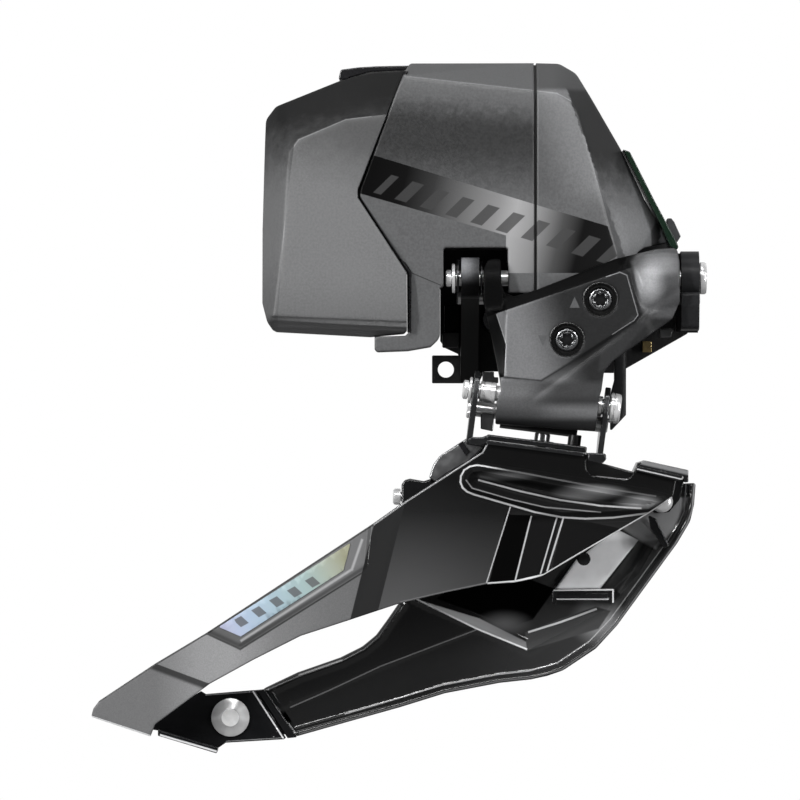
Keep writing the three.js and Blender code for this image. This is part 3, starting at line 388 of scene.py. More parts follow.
# ------------------------------------------------------- materials in use
STRIP_A = [(-23.067, 20.833), (-20.667, 27.167), (6.167, 19), (7.167, 18.667), (7.167, 12.5), (6.167, 12.5), (1.333, 13.833)]
STRIP_B = [(5.5, 19.167), (18.5, 15.333), (20, 10.333), (15.5, 7.5), (5.5, 7.5)]
STRIP_C = [(1.5, 14.167), (6.833, 12.5), (6.833, 7.5), (1.5, 7.5)]
def housing_painted_light(s):
    """Painted light and shade in broad areas over the housing's moulded side."""
    x, z = s.x, s.z
    mott = s.math('MULTIPLY', s.math('SUBTRACT', s.noise(0.55, 4, 0.65), 0.5), 5.0)
    zz = s.math('ADD', z, mott)
    shift = s.math('MULTIPLY', s.math('ADD', x, 10.0), 0.10)
    zs = s.math('ADD', zz, shift)
    # painted light and shade: lighter above the ridge and lower down, a darker band in between, with mottled edges
    k = s.ramp(zs, 32.333, 38, 0.20, 0.88)
    k2 = s.ramp(zz, 29.667, 17.167, 0.0, 0.80)
    k = s.math('ADD', k, k2)
    ridge = s.math('SUBTRACT', s.vec('DOT_PRODUCT', s.mm, (-0.113, 0, 0.9936)), -0.113 * -15.5 + 0.9936 * 40.417)
    k = s.mixf(s.ramp(ridge, -0.1, 0.1), k, 0.80)
    # front cover: painted highlight along the edge of the sloping facet; the facet itself is painted dark high up and
    # bright low down
    nx, nz = 0.9436, 0.3311
    e = s.math('SUBTRACT', s.vec('DOT_PRODUCT', s.mm, (nx, 0, nz)), nx * 13.167 + nz * 33.833)
    e = s.math('ADD', e, s.math('MULTIPLY', mott, 0.25))
    kc = s.ramp(e, -9.0, -0.3, 0.80, 1.75)
    kc = s.mixf(s.ramp(z, 17.167, 23), 1.0, kc)
    kf = s.ramp(s.math('ADD', z, s.math('MULTIPLY', mott, 1.2)), 28, 14.333, 0.18, 2.3)
    kc = s.mixf(s.ramp(e, -0.15, 0.15), kc, kf)
    kc = s.mixf(s.ramp(z, 37.667, 38.667), kc, 0.62)
    return s.mixf(s.ramp(x, 6.4, 6.433), k, kc)
def strip(s, col, r):
    """Gloss band across the housing's side, with a painted reflection along it and a plain pattern of slanted bars;
    the rest of the side gets the painted light and shade.
    """
    m = s.math('MAXIMUM', s.poly(STRIP_A), s.poly(STRIP_B))
    m = s.math('MAXIMUM', m, s.poly(STRIP_C))
    m = s.math('MULTIPLY', m, s.ramp(s.vec('DOT_PRODUCT', s.mm, (0, 1, 0)), -30.0, -30.5))
    x, z = s.x, s.z
    t = s.ramp(s.math('ADD', x, s.math('MULTIPLY', z, -0.25)), -27.5, 18.5, smooth=False)
    g = lambda v: (v, v, v * 1.01)
    # painted reflection on the gloss band: dark at the left end, brightest right of the middle, dark again at the
    # right end
    band = s.colors(t, [(0.0, g(.003)), (0.14, g(.005)), (0.25, g(.030)), (0.36, g(.10)), (0.5, g(.20)), (0.57, g(.30)), (0.66, g(.20)), (0.75, g(.06)), (0.83, g(.006)), (1.0, g(.010))])
    u = s.math('ADD', s.vec('DOT_PRODUCT', s.mm, (0.956, 0, -0.293)), s.math('MULTIPLY', s.vec('DOT_PRODUCT', s.mm, (0.293, 0, 0.956)), -0.55))
    v = s.vec('DOT_PRODUCT', s.mm, (0.293, 0, 0.956))
    fr = s.math('FRACT', s.math('MULTIPLY', u, 1 / 4.4))
    bar = s.math('MULTIPLY', s.ramp(fr, 0.20, 0.23), s.ramp(fr, 0.66, 0.69, 1, 0))
    vb = s.math('MULTIPLY', s.ramp(v, 13.9, 14.05), s.ramp(v, 17.6, 17.75, 1, 0))
    ub = s.math('MULTIPLY', s.ramp(u, -33.6, -33.5), s.ramp(u, 10.5, 10.6, 1, 0))
    sh = s.math('MULTIPLY', s.math('MULTIPLY', bar, vb), ub)
    tone = s.mix(s.math('MULTIPLY', sh, 0.8), band, s.colors(t, [(0.0, g(.05)), (0.3, g(.045)), (0.5, g(.035)), (0.7, g(.05)), (1, g(.055))]))
    # painted shade: a dark line along the crease at the lower left
    plain = s.mix(s.math('MULTIPLY', s.line([(-14.733, 7.75), (-9.417, 5.5)], 0.08), 0.85), s.times(col, housing_painted_light(s)), g(.008))
    # painted highlight: a light line along the top ridge and down the front corner
    plain = s.times(plain, s.math('ADD', 1.0, s.math('MULTIPLY', s.line([(-15.5, 40.367), (6.167, 37.95), (10, 37.5), (12.333, 36.25), (13.333, 34.667), (15.167, 28.333), (20, 10.833)], 0.09), 0.7)))
    s.set(base=s.mix(m, plain, tone), rough=s.mixf(m, r, 0.30), spec=s.mixf(m, 0.5, 0.07))
def battery_painted_light(s, col, r):
    x, z = s.x, s.z
    mott = s.math('MULTIPLY', s.math('SUBTRACT', s.noise(0.5, 4, 0.65), 0.5), 6.0)
    zz = s.math('ADD', z, mott)
    # painted shade: the face darkens towards its top edge and towards the bottom
    k = s.ramp(s.math('ADD', zz, s.math('MULTIPLY', x, 0.25)), 33 - 6.8, 19.667 - 6.8, 0.45, 1.0)
    k = s.math('MULTIPLY', k, s.ramp(z, -4.5, 8, 0.68, 1.0))
    # painted shade: the facets around the face are painted darker, nearly black at the top
    ring = s.ramp(s.math('ADD', zz, s.math('MULTIPLY', x, -0.2)), 33.833 + 7.5, 18.833 + 7.5, 0.07, 0.85)
    ring = s.math('MULTIPLY', ring, s.ramp(z, -0.333, 11.333, 0.7, 1.0))
    m = s.poly([(-14.5, 34.333), (-21, 33.667), (-25.167, 33.167), (-33.167, 29.833), (-34.667, 27.667), (-35, 25), (-35.667, 13.833), (-37, 3), (-37.417, -2), (-27.833, -4.5), (-12.833, -4.5), (-12.833, 33)], 0.08)
    # painted highlight: a light line along the face's upper left edge
    k = s.math('ADD', k, s.math('MULTIPLY', s.line([(-21, 33.583), (-25.167, 33.083), (-33, 29.733), (-34.5, 27.667), (-34.9, 25), (-35.567, 13.833), (-36.867, 3)], 0.08), 0.45))
    s.set(base=s.times(col, s.mixf(m, ring, k)), spec=s.mixf(m, s.ramp(zz, 34.667, 19.667, 0.12, 0.5), 0.5))

M_HOUSE = plastic('housing_grain_and_painted_light', (0.085, 0.086, 0.088), rough=0.44, extra=strip, spec=0.5)
M_BATT = plastic('battery_grain_and_painted_light', (0.125, 0.126, 0.128), rough=0.52, bumps=0.3, extra=battery_painted_light)
M_LATCH = plastic('latch_gloss', (0.012, 0.012, 0.013), rough=0.18, bumps=0.05)
M_BUTTON = plastic('button_satin', (0.05, 0.051, 0.053), rough=0.35, bumps=0.1)
M_PAD = plastic('pad_plastic', (0.011, 0.011, 0.012), rough=0.3, bumps=0.1)
M_GASKET = plastic('gasket', (0.012, 0.012, 0.012), rough=0.7)
def link_painted_light(s, col, r):
    x, z = s.x, s.z
    # painted light: bright on the left of the facet, fading dark to the right
    k = s.ramp(s.math('ADD', x, s.math('MULTIPLY', z, 0.35)), 4.667 - 2.5, 15.833 - 3.2, 2.7, 0.30)
    # lower body: painted shade darkening downwards, then a painted highlight lifting it over the barrel
    k = s.mixf(s.ramp(z, -10, -11.333), k, s.ramp(x, 3, 10.5, 2.2, 0.75))
    k = s.math('MULTIPLY', k, s.ramp(z, -12.333, -14.167, 1.0, 0.62))
    k = s.mixf(s.math('MULTIPLY', s.ramp(z, -13.667, -15.5), s.ramp(x, 3, 10.5)), k, 2.1)
    k = s.mixf(s.ramp(z, -16.167, -17.5), k, 0.45)
    # painted shade: the rear ear and the left flank are painted nearly black
    k = s.mixf(s.math('MULTIPLY', s.poly([(-2.833, 11.333), (1.833, 11.333), (1.833, 2.833), (-2.833, 2.833)], 0.05), s.ramp(z, 7, 9.333, 1.0, 0.6)), k, 0.12)
    k = s.mixf(s.poly([(-3.167, 3), (-2.167, 3.5), (-0.167, 0.75), (1.417, -4.5), (1.083, -9.833), (-2.833, -10.667)], 0.05), k, 0.08)
    # painted shade: the top bevel is painted dark
    top = s.math('MULTIPLY', s.above([(-0.25, 0.667)][0], [(20.4, 7.717)][0], 0.08), s.ramp(x, 23.833, 21.5))
    k = s.mixf(top, k, 0.05)
    # painted highlight: bright spots on the front boss
    boss_highlight = s.poly([(22.5, 9.333), (23.833, 11.333), (30.5, 12), (30.833, 2.5), (29.167, 0), (25.5, 0), (24, 1)], 0.5)
    k = s.mixf(boss_highlight, k, s.math('ADD', 1.15, s.math('ADD', s.blob(25.333, 5.667, 3.333, 5.333, 0.0, 5.0), s.blob(27.5, 9, 4.333, 2.667, 0.0, 2.2))))
    # painted shade under the boss
    under = s.poly([(22.5, 0.333), (28.5, 1), (29.167, -0.667), (19.167, -7.5), (17.833, -9), (16.833, -9), (17.167, -5.333)], 0.35)
    k = s.mixf(s.math('MULTIPLY', under, 0.9), k, 0.5)
    # painted highlight lines along the facet's edges
    edge = s.math('MAXIMUM', s.line([(18.167, 6.833), (20.4, 7.6), (21.583, 7.083), (23.4, 0.45), (22.767, -0.433), (19.167, -2.75)], 0.07), s.line([(-0.083, 0.583), (1.533, -4.5), (1.2, -9.583)], 0.05))
    k = s.math('ADD', k, s.math('MULTIPLY', edge, 3.0))
    # painted shade along the lower edge line
    k = s.mixf(s.math('MULTIPLY', s.line([(1.167, -9.867), (7.333, -10.467), (19.167, -3.25)], 0.10, 0.1), 0.55), k, 0.3)
    s.set(base=s.times(col, k), metal=s.mixf(top, 0.15, 0.0), spec=s.mixf(top, 0.16, 0.04))
M_ALLOY = plastic('link_anodised_and_painted_light', (0.055, 0.0555, 0.057), rough=0.38, grain=3.2, bumps=0.25, spec=0.16, var=0.1, extra=link_painted_light)
def arm_painted_light(s, col, r):
    # painted highlight at the top of the rear arm, fading dark downwards and to the right
    k = s.math('MULTIPLY', s.ramp(s.z, 9.333, 5.333, 5.6, 0.08), s.ramp(s.x, -5.5, -3, 1.15, 0.3))
    # painted shade: the front arm is a flat darker copy
    k = s.mixf(s.ramp(s.x, 10.5, 10.667), k, 0.55)
    s.set(base=s.times(col, k))
M_ARM = plastic('arm_anodised_and_painted_light', (0.03, 0.0305, 0.032), rough=0.34, grain=3.0, bumps=0.22, spec=0.10, extra=arm_painted_light)
M_BORE = plastic('bore_black', (0.008, 0.008, 0.008), rough=0.3, bumps=0.05, spec=0.4)
M_DARKARM = plastic('inner_black', (0.012, 0.012, 0.0125), rough=0.4, grain=3.0, bumps=0.15)
M_MARK = plastic('mark_grey', (0.055, 0.056, 0.058), rough=0.5, bumps=0.1)
M_STEEL = steel('polished_steel', (0.93, 0.93, 0.935), rough=0.22, metal=0.58)
M_RIVET = steel('satin_steel', (0.93, 0.93, 0.93), rough=0.4, metal=0.62)
M_SCREW = steel('screw_dark', (0.24, 0.243, 0.248), rough=0.26)
M_SCREW_DK = steel('screw_socket', (0.06, 0.06, 0.062), rough=0.3)
M_GREY = steel('grey_metal', (0.22, 0.222, 0.225), rough=0.32)
M_BRASS = steel('brass', (0.5, 0.38, 0.18), rough=0.3)
M_STRAP = steel('strap_grey', (0.36, 0.363, 0.368), rough=0.34)
M_GREEN = plastic('indicator_green', (0.006, 0.016, 0.009), rough=0.2, bumps=0.04)

TAIL_LINE = ([(-56.833, -57.667)][0], [(-47.833, -61)][0])
def cage_plate_painted_light(s, col, r):
    x, z = s.x, s.z
    sx = s.math('SUBTRACT', x, s.math('MULTIPLY', z, 0.249))
    rear = s.ramp(sx, -12.05, -11.85, 1, 0)       # the rear arm of the plate has a finely blasted finish
    fine = s.noise(5.0, 2, 0.6)
    g = lambda v: (v, v * 1.005, v * 1.02)
    # the blasted grey rear arm carries a painted light gradient along its length, brightest near the middle
    run = s.ramp(x, -67.833, -17.833, smooth=False)
    arm = s.colors(run, [(0, g(.135)), (0.22, g(.14)), (0.36, g(.23)), (0.47, g(.25)), (0.62, g(.16)), (0.8, g(.12)), (1, g(.10))])
    arm = s.times(arm, s.ramp(fine, 0.3, 0.7, 0.9, 1.1))
    tl = s.math('SUBTRACT', s.vec('DOT_PRODUCT', s.mm, (0.3473, 0, 0.9378)), 0.3473 * -57.833 + 0.9378 * -58)
    # painted shade: a dark band along the bend near the tail
    bend_painted_shade = s.math('MULTIPLY', s.ramp(s.math('ADD', s.vec('DOT_PRODUCT', s.mm, (0.3473, 0, 0.9378)), -(0.3473 * -56.833 + 0.9378 * -57.667)), 0.15, 0.05), s.ramp(s.math('ADD', s.vec('DOT_PRODUCT', s.mm, (0.3473, 0, 0.9378)), -(0.3473 * -57.5 + 0.9378 * -58.667)), -0.2, 0.5))
    arm = s.mix(s.math('MULTIPLY', bend_painted_shade, 0.88), arm, g(.012))
    # painted shade: the raised badge panel is painted darker, lightening towards the front
    raise_side = s.poly([(-48.667, -52.333), (-42.75, -55.083), (-21.5, -41.75), (-20.667, -34.167), (-20.7, -33.333), (-49.5, -51.667)], 0.05)
    arm = s.mix(raise_side, arm, s.colors(run, [(0, g(.05)), (0.5, g(.10)), (0.8, g(.14)), (1, g(.12))]))
    # painted shade and painted highlight lines: a dark line under the badge panel, a light band along its bevel, dark
    # lines along the plate's upper and lower edges and a light line along the tail's end
    arm = s.mix(s.math('MULTIPLY', s.line([(-48.5, -52.5), (-42.75, -55.167), (-21.5, -41.833)], 0.14), 0.85), arm, g(.02))
    arm = s.mix(s.math('MULTIPLY', s.line([(-42.5, -53.667), (-24.167, -41.833), (-22.5, -37)], 0.2, 0.15), 0.8), arm, g(.36))
    arm = s.mix(s.math('MULTIPLY', s.line([(-66.333, -63.933), (-56.833, -57.667), (-48.5, -52.667), (-20.7, -34.467)], 0.14), 0.85), arm, g(.008))
    arm = s.mix(s.math('MULTIPLY', s.line([(-67.5, -66.5), (-57.75, -69.667)], 0.15), 0.9), arm, g(.85))
    arm = s.mix(s.math('MULTIPLY', s.line([(-47.833, -60.833), (-40.583, -56.833), (-32.667, -52.833), (-23.233, -49.767)], 0.10), 0.6), arm, g(.02))
    # painted shade: the middle part darkens towards the top and towards the right, with a dark band along its rear
    # edge
    mid = s.colors(s.ramp(z, -27, -47.833, smooth=False), [(0, g(.007)), (0.25, g(.013)), (0.5, g(.034)), (0.8, g(.058)), (1, g(.07))])
    mid = s.times(mid, s.ramp(x, -16.167, 2.167, 1.15, 0.7))
    mid = s.mix(s.ramp(sx, -7.75, -7.6, 1, 0), mid, g(.022))
    # painted shade: the dished part under the rib, right of the first step, is near black
    right = s.mix(s.ramp(sx, 13.9, 14.0), g(.0022), g(.008))
    under = s.poly([(1.333, -31.167), (10.5, -33), (32.167, -33.667), (32.167, -47), (-2.833, -47), (-2.833, -44.333)], 0.05)
    under = s.math('MULTIPLY', under, s.ramp(sx, 9.5, 9.7))
    mid = s.mix(under, mid, right)
    # painted highlight lines along the plate's upper and lower rims
    mid = s.mix(s.math('MULTIPLY', s.line([(-1.5, -44.2), (3, -43.867), (7.833, -42.767), (11.667, -40.433), (25.167, -32.55), (29, -30)], 0.17), 0.9), mid, g(.75))
    mid = s.mix(s.math('MULTIPLY', s.line([(-1.5, -20.7), (15.5, -22.583), (15.75, -25.417), (16.667, -26.217), (21.5, -26.767)], 0.13), 0.8), mid, g(.55))
    mid = s.mix(s.math('MULTIPLY', s.line([(-1.5, -20.833), (-2.417, -22.417), (-15.167, -30.633), (-20.667, -34.5)], 0.12), 0.7), mid, g(.40))
    mid = s.mix(s.math('MULTIPLY', s.line([(-1.667, -44.1), (-8.5, -45.533), (-16, -47.283)], 0.12), 0.6), mid, g(.22))
    # painted highlight lines along the rib
    rib_highlight_lines = s.line([(-6.117, -27.333), (-6.033, -26.333), (-5.5, -25.333), (-4.5, -24.717), (-3.333, -24.5), (-2.167, -24.667), (3.833, -25.733), (10.5, -27), (17.167, -28.25), (26.333, -29.667)], 0.13)
    rib_highlight_lines = s.math('MAXIMUM', rib_highlight_lines, s.line([(-6.117, -27.333), (-5.75, -28.25), (-5, -28.917), (-3.833, -29.383), (2.333, -31.167), (6.333, -32.333), (10.667, -33.167), (14.667, -33.417), (19.167, -33.25), (26.333, -32.333)], 0.15))
    rib_highlight_lines = s.math('MAXIMUM', rib_highlight_lines, s.line([(-3, -27), (3.833, -28.833), (10.5, -30.333), (17.167, -31.25), (23.833, -31.667)], 0.14))
    rib_highlight_lines = s.math('MULTIPLY', rib_highlight_lines, s.math('SUBTRACT', 1.0, s.math('MULTIPLY', s.above([(-4.5, -26)][0], [(26.333, -31)][0], 0.1), s.ramp(x, -2.5, 2.5, 0.0, 0.85))))
    mid = s.mix(s.math('MULTIPLY', rib_highlight_lines, s.ramp(x, 0.5, 20.5, 0.9, 0.6)), mid, g(.55))
    # painted highlights in the rib's trough and a painted shadow along its inner slot
    mid = s.mix(s.math('MULTIPLY', s.line([(-5.167, -27), (-4.167, -28.333), (2.5, -30.25), (8, -31.5), (17.167, -32.333)], 0.10), 0.6), mid, g(.3))
    mid = s.mix(s.blob(15.5, -29, 7.333, 1.667, 0.0, 0.85), mid, g(.26))
    mid = s.mix(s.blob(1.333, -26.333, 6.667, 1, 0.0, 0.7), mid, g(.10))
    mid = s.mix(s.blob(23.5, -30.667, 4.667, 1.5, 0.0, 0.85), mid, g(.30))
    mid = s.mix(s.blob(3.833, -27.5, 5.667, 0.583, 0.0, 0.8), mid, g(.004))
    # painted highlight lines on the pressed steps
    press_highlight_lines = s.math('MAXIMUM', s.line([(2.167, -31.5), (-1.75, -44)], 0.09), s.line([(5.667, -33.083), (3, -43.75)], 0.12))
    press_highlight_lines = s.math('MAXIMUM', press_highlight_lines, s.math('MAXIMUM', s.line([(9.917, -33.333), (7.25, -42.5)], 0.11), s.line([(11, -33.333), (8.333, -42.083)], 0.13)))
    mid = s.mix(s.math('MULTIPLY', press_highlight_lines, 0.85), mid, g(.5))
    dish = s.poly([(-6.333, -24), (-2.833, -23.833), (10.5, -26), (23.833, -28), (28.5, -29.333), (28.5, -32.333), (23.833, -33.833), (14.667, -34.167), (3.833, -32.333), (-5.167, -29.833), (-6.667, -28)], 0.2)
    s.set(base=s.mix(rear, mid, arm), spec=s.mixf(dish, s.mixf(under, 0.35, 0.02), 0.06), rough=s.mixf(dish, s.mixf(rear, r, 0.40), 0.42), metal=s.mixf(s.math('MAXIMUM', rear, under), 0.15, 0.0), coat=s.mixf(s.math('MAXIMUM', dish, s.math('MAXIMUM', rear, under)), 0.25, 0.0), normal=s.bump(fine, 0.08, 0.01))
M_PLATE = coated('cage_gloss_and_painted_light', (0.02, 0.0202, 0.021), rough=0.16, metal=0.15, coat=0.25, coat_rough=0.05, spec=0.35, extra=cage_plate_painted_light)
def inner_plate_painted_light(s, col, r):
    x, z = s.x, s.z
    g = lambda v: (v, v * 1.005, v * 1.02)
    n = s.noise(0.3, 2, 0.5)
    # painted light: darker towards the rear, lighter towards the front, with a painted highlight spot low at the front
    base = s.mix(s.ramp(s.math('ADD', x, s.math('MULTIPLY', z, -0.3)), -9.5 + 16, 17.167 + 16), g(.010), g(.030))
    base = s.mix(s.blob(17.167, -50.667, 5.667, 5), base, g(.24))
    # painted light: the flat panel is painted near white
    panel_painted_light = s.poly([(20.167, -35.333), (23.833, -37.167), (17.333, -45.333), (9.833, -45.333), (13.167, -40.667)], 0.08)
    base = s.mix(panel_painted_light, base, s.mix(s.ramp(n, 0.3, 0.7), g(.88), g(.97)))
    # painted highlight over the front corner
    base = s.mix(s.poly([(23.833, -30.333), (32.167, -30), (29.833, -35.333), (26.333, -39), (23.833, -37.167), (20.167, -35.333)], 0.3), base, g(.30))
    # painted shade: the inside of the V is painted black, lifted by a dim painted highlight near its lower edge
    vee_painted_shade = s.poly([(-10, -47), (4.5, -52.333), (10.833, -49), (15.5, -47.5), (9.833, -45.333), (13.167, -40.667), (10.5, -39.667), (-2.833, -40.333)], 0.15)
    base = s.mix(vee_painted_shade, base, g(.0004))
    base = s.mix(s.blob(1.333, -51.167, 5.667, 2.667), base, g(.10))
    # painted highlight band along the V's lower edge; the strip below it is painted darker
    band = s.poly([(-14.167, -46.667), (-10.833, -46.333), (-2.833, -50.333), (4.833, -52.667), (5.167, -55.667), (-3.667, -51.833)], 0.12)
    base = s.mix(band, base, s.mix(s.ramp(x, -13.667, 5.5), g(.62), g(.20)))
    low = s.poly([(4.833, -52.667), (10.833, -50.333), (16.667, -48.333), (19.167, -49), (17.167, -52), (5.167, -55.667)], 0.15)
    base = s.mix(low, base, g(.055))
    # painted highlight lines along the V's edges, the rims and the rear edge
    base = s.mix(s.math('MULTIPLY', s.line([(5.5, -52.583), (10.833, -50.917), (16.667, -48.75)], 0.16), 0.9), base, g(.7))
    base = s.mix(s.math('MULTIPLY', s.line([(-34.5, -65.167), (-27.833, -62.25), (-19.5, -58.333), (-3.5, -52.25)], 0.10), 0.75), base, g(.16))
    rim = s.math('MAXIMUM', s.line([(33.217, -27.833), (32.833, -32), (32, -34.333), (29.917, -37.833), (20, -51.333), (16.5, -55), (11, -58.75), (5.833, -60.167), (0.5, -60.75), (-8.667, -62.5), (-16.167, -64.833), (-26.167, -67.667), (-33, -69.583)], 0.11), s.line([(31.833, -27.833), (31.5, -32.333), (30.667, -34.167), (28.667, -37.333), (19, -50.5), (15.5, -54.167), (10.167, -57.75), (5.5, -59.083), (0.167, -59.667), (-9, -61.417), (-16.5, -63.667), (-25.333, -66.25)], 0.09))
    base = s.mix(s.math('MULTIPLY', rim, 0.75), base, g(.42))
    base = s.mix(s.math('MULTIPLY', s.line([(-38.167, -62.083), (-33, -59.917), (-26, -57.417), (-22.167, -55.417), (-19.75, -53.333), (-17.75, -50.5), (-16.167, -48.167)], 0.10), 0.7), base, g(.30))
    base = s.mix(s.math('MULTIPLY', s.line([(-38.667, -62.667), (-33.833, -69.333)], 0.14), 0.8), base, g(.45))
    base = s.mix(s.math('MULTIPLY', s.line([(-13.833, -46.833), (-3.5, -51.917), (5, -55.417)], 0.14), 0.9), base, g(.95))
    s.set(base=base, spec=s.mixf(vee_painted_shade, 0.45, 0.05), coat=s.mixf(vee_painted_shade, 0.4, 0.0), metal=0.1)
M_PLATE_IN = coated('cage_inner_gloss', (0.008, 0.0082, 0.0088), rough=0.15, metal=0.2, coat=0.4, coat_rough=0.05, spec=0.4)
def tail_painted_highlights(s, col, r):
    g = lambda v: (v, v * 1.005, v * 1.02)
    # painted highlight lines along the tail bridge's edges
    e = s.math('MAXIMUM', s.line([(-40.75, -62.5), (-35.75, -70.25)], 0.12), s.line([(-56, -69.5), (-46.833, -72.167)], 0.16))
    f = s.math('MAXIMUM', s.line([(-48.667, -63.083), (-41, -62.55)], 0.08), s.line([(-46.333, -71.917), (-45.167, -70.833), (-36, -70.25)], 0.08))
    base = s.mix(s.math('MULTIPLY', f, 0.7), col, g(.25))
    s.set(base=s.mix(s.math('MULTIPLY', e, 0.85), base, g(.7)))
M_TAIL = coated('tail_gloss_and_painted_highlights', (0.006, 0.0062, 0.0068), rough=0.15, metal=0.05, coat=0.12, coat_rough=0.05, spec=0.14, extra=tail_painted_highlights)
def pad_painted_highlights(s, col, r):
    # painted highlight outline along the chain pad's edges
    e = s.math('MAXIMUM', s.line([(9.667, -45.5), (19.417, -45.433)], 0.13), s.line([(19.5, -45.5), (19.5, -47.5)], 0.12))
    e = s.math('MAXIMUM', e, s.line([(10.167, -47), (18.667, -47)], 0.10))
    s.set(base=s.mix(s.math('MULTIPLY', e, 0.85), col, (.8, .8, .81)))
M_PADG = plastic('pad_gloss_and_painted_highlights', (0.009, 0.009, 0.0095), rough=0.2, bumps=0.05, spec=0.4, extra=pad_painted_highlights)
def bridge_painted_highlights(s, col, r):
    # painted highlight band and line along the bridge's edges
    e = s.line([(24.333, -24.083), (31.667, -25.75)], 0.35, 0.2)
    f = s.line([(23.333, -25.167), (31, -26.917)], 0.10)
    base = s.mix(s.math('MULTIPLY', e, 0.85), col, (.26, .262, .266))
    s.set(base=s.mix(s.math('MULTIPLY', f, 0.8), base, (.7, .7, .71)))
M_BRIDGE = coated('bridge_gloss_and_painted_highlights', (0.012, 0.0122, 0.0128), rough=0.18, metal=0.2, coat=0.4, coat_rough=0.05, spec=0.4, extra=bridge_painted_highlights)
M_INNER = coated('inner_plate_gloss_and_painted_light', (0.008, 0.0082, 0.0088), rough=0.16, metal=0.1, coat=0.4, coat_rough=0.06, spec=0.45, extra=inner_plate_painted_light)
M_YOKE = coated('yoke_gloss', (0.05, 0.051, 0.053), rough=0.18, metal=0.8, coat=0.5)

VB0, VB1 = -24.45, -22.70
def badge_mat():
    s = N('badge_foil')
    u = s.vec('DOT_PRODUCT', s.mm, (0.875, 0, 0.484))
    t = s.ramp(u, -65.5, -41.5, smooth=False)
    col = s.colors(t, [(0, (.62, .63, .86)), (.2, (.56, .70, .90)), (.45, (.58, .78, .88)), (.7, (.62, .82, .80)), (.87, (.72, .80, .66)), (1, (.62, .62, .42))])
    v = s.vec('DOT_PRODUCT', s.mm, (-0.484, 0, 0.875))
    w = s.math('ADD', u, s.math('MULTIPLY', v, 0.35))
    fr = s.math('FRACT', s.math('MULTIPLY', w, 1 / 3.4))
    bar = s.math('MULTIPLY', s.ramp(fr, 0.18, 0.21), s.ramp(fr, 0.62, 0.65, 1, 0))
    vb = s.math('MULTIPLY', s.ramp(v, VB0, VB0 + 0.12), s.ramp(v, VB1 - 0.12, VB1, 1, 0))
    ub = s.math('MULTIPLY', s.ramp(u, -62.6, -62.5), s.ramp(u, -45.8, -45.7, 1, 0))
    k = s.math('MULTIPLY', s.math('MULTIPLY', bar, vb), ub)
    n = s.noise(1.2, 2, 0.5)
    col = s.mix(s.ramp(n, 0.3, 0.7, 0, 0.12), col, (.70, .74, .78))
    col = s.times(col, s.ramp(u, -66.0, -41.0, 0.62, 0.42))
    return s.set(base=s.mix(s.math('MULTIPLY', k, 0.85), col, (.085, .085, .09)), rough=0.4, metal=0.0, spec=0.3, coat=0.15, coat_rough=0.1)
M_BADGE = badge_mat()
M_BOARD = plastic('board', (0.02, 0.09, 0.04), rough=0.4)
M_FOIL = steel('foil', (0.6, 0.6, 0.61), rough=0.3)

# ------------------------------------------------------------------ battery
B_FACE = round_poly([(-14.5, 34.333), (-21, 33.667), (-25.167, 33.167), (-33.167, 29.833), (-34.667, 27.667), (-35, 25), (-35.667, 13.833), (-37, 3), (-37.417, 0), (-27.833, -1), (-12.833, -2), (-12.833, 33)], 1.2, radii={3: 2.2, 4: 1.2, 8: 0.4})
B_OUT = round_poly([(-15.4, 41.467), (-21.167, 41.133), (-26.333, 39.783), (-37, 35.5), (-38.667, 33.333), (-39.167, 14.667), (-39.167, 2.5), (-38.333, -0.667), (-37.333, -2.167), (-21.167, -3.033), (-15.5, -2.5), (-15, -2), (-15.067, 7.567), (-23.2, 20.067), (-23.233, 21.367)], 0, radii={3: 1.6, 4: 2.0, 6: 1.5, 7: 2.0, 8: 0.8, 10: 0.5, 11: 0.3, 14: 1.2, 2: 6, 1: 6})
def batt_front(P):
    d = sdf(P, B_FACE); o = softplus(d, 0.16)
    left = step(P[:, 0], -36.0, -39.0)
    y = -35.0 + o * (1.25 + 0.3 * left) + 0.010 * np.maximum(0, -d - 0.4) * 0
    # the face is very slightly domed
    y = y + 0.05 * np.exp(-np.maximum(-d, 0) / 1.4)
    # ledge lines along the bottom
    l1 = -side(P, [(-37.333, 0.333)][0], [(-15.5, -0.583)][0]); l2 = -side(P, [(-37.333, -0.5)][0], [(-15.5, -1.583)][0]); l3 = -side(P, [(-37.333, -1.5)][0], [(-15.5, -2.167)][0])
    low = step(P[:, 0], -38.2, -37.2)
    y = y + low * (0.45 * step(l1, -0.12, 0.3) + 0.7 * step(l2, -0.1, 0.35) + 0.9 * step(l3, -0.1, 0.5))
    return np.minimum(y, -20)
ob = relief('battery_block', B_OUT, batt_front, lambda P: np.full(len(P), -5.5), M_BATT, 'battery', ('battery_shell',), grid=0.55, edge=0.35, rf=0.3, rb=1.0,
            creases=[B_FACE + [B_FACE[0]], [(-37.333, 0.333), (-15.5, -0.583)], [(-37.333, -0.5), (-15.5, -1.583)], [(-37.333, -1.5), (-15.5, -2.167)]])

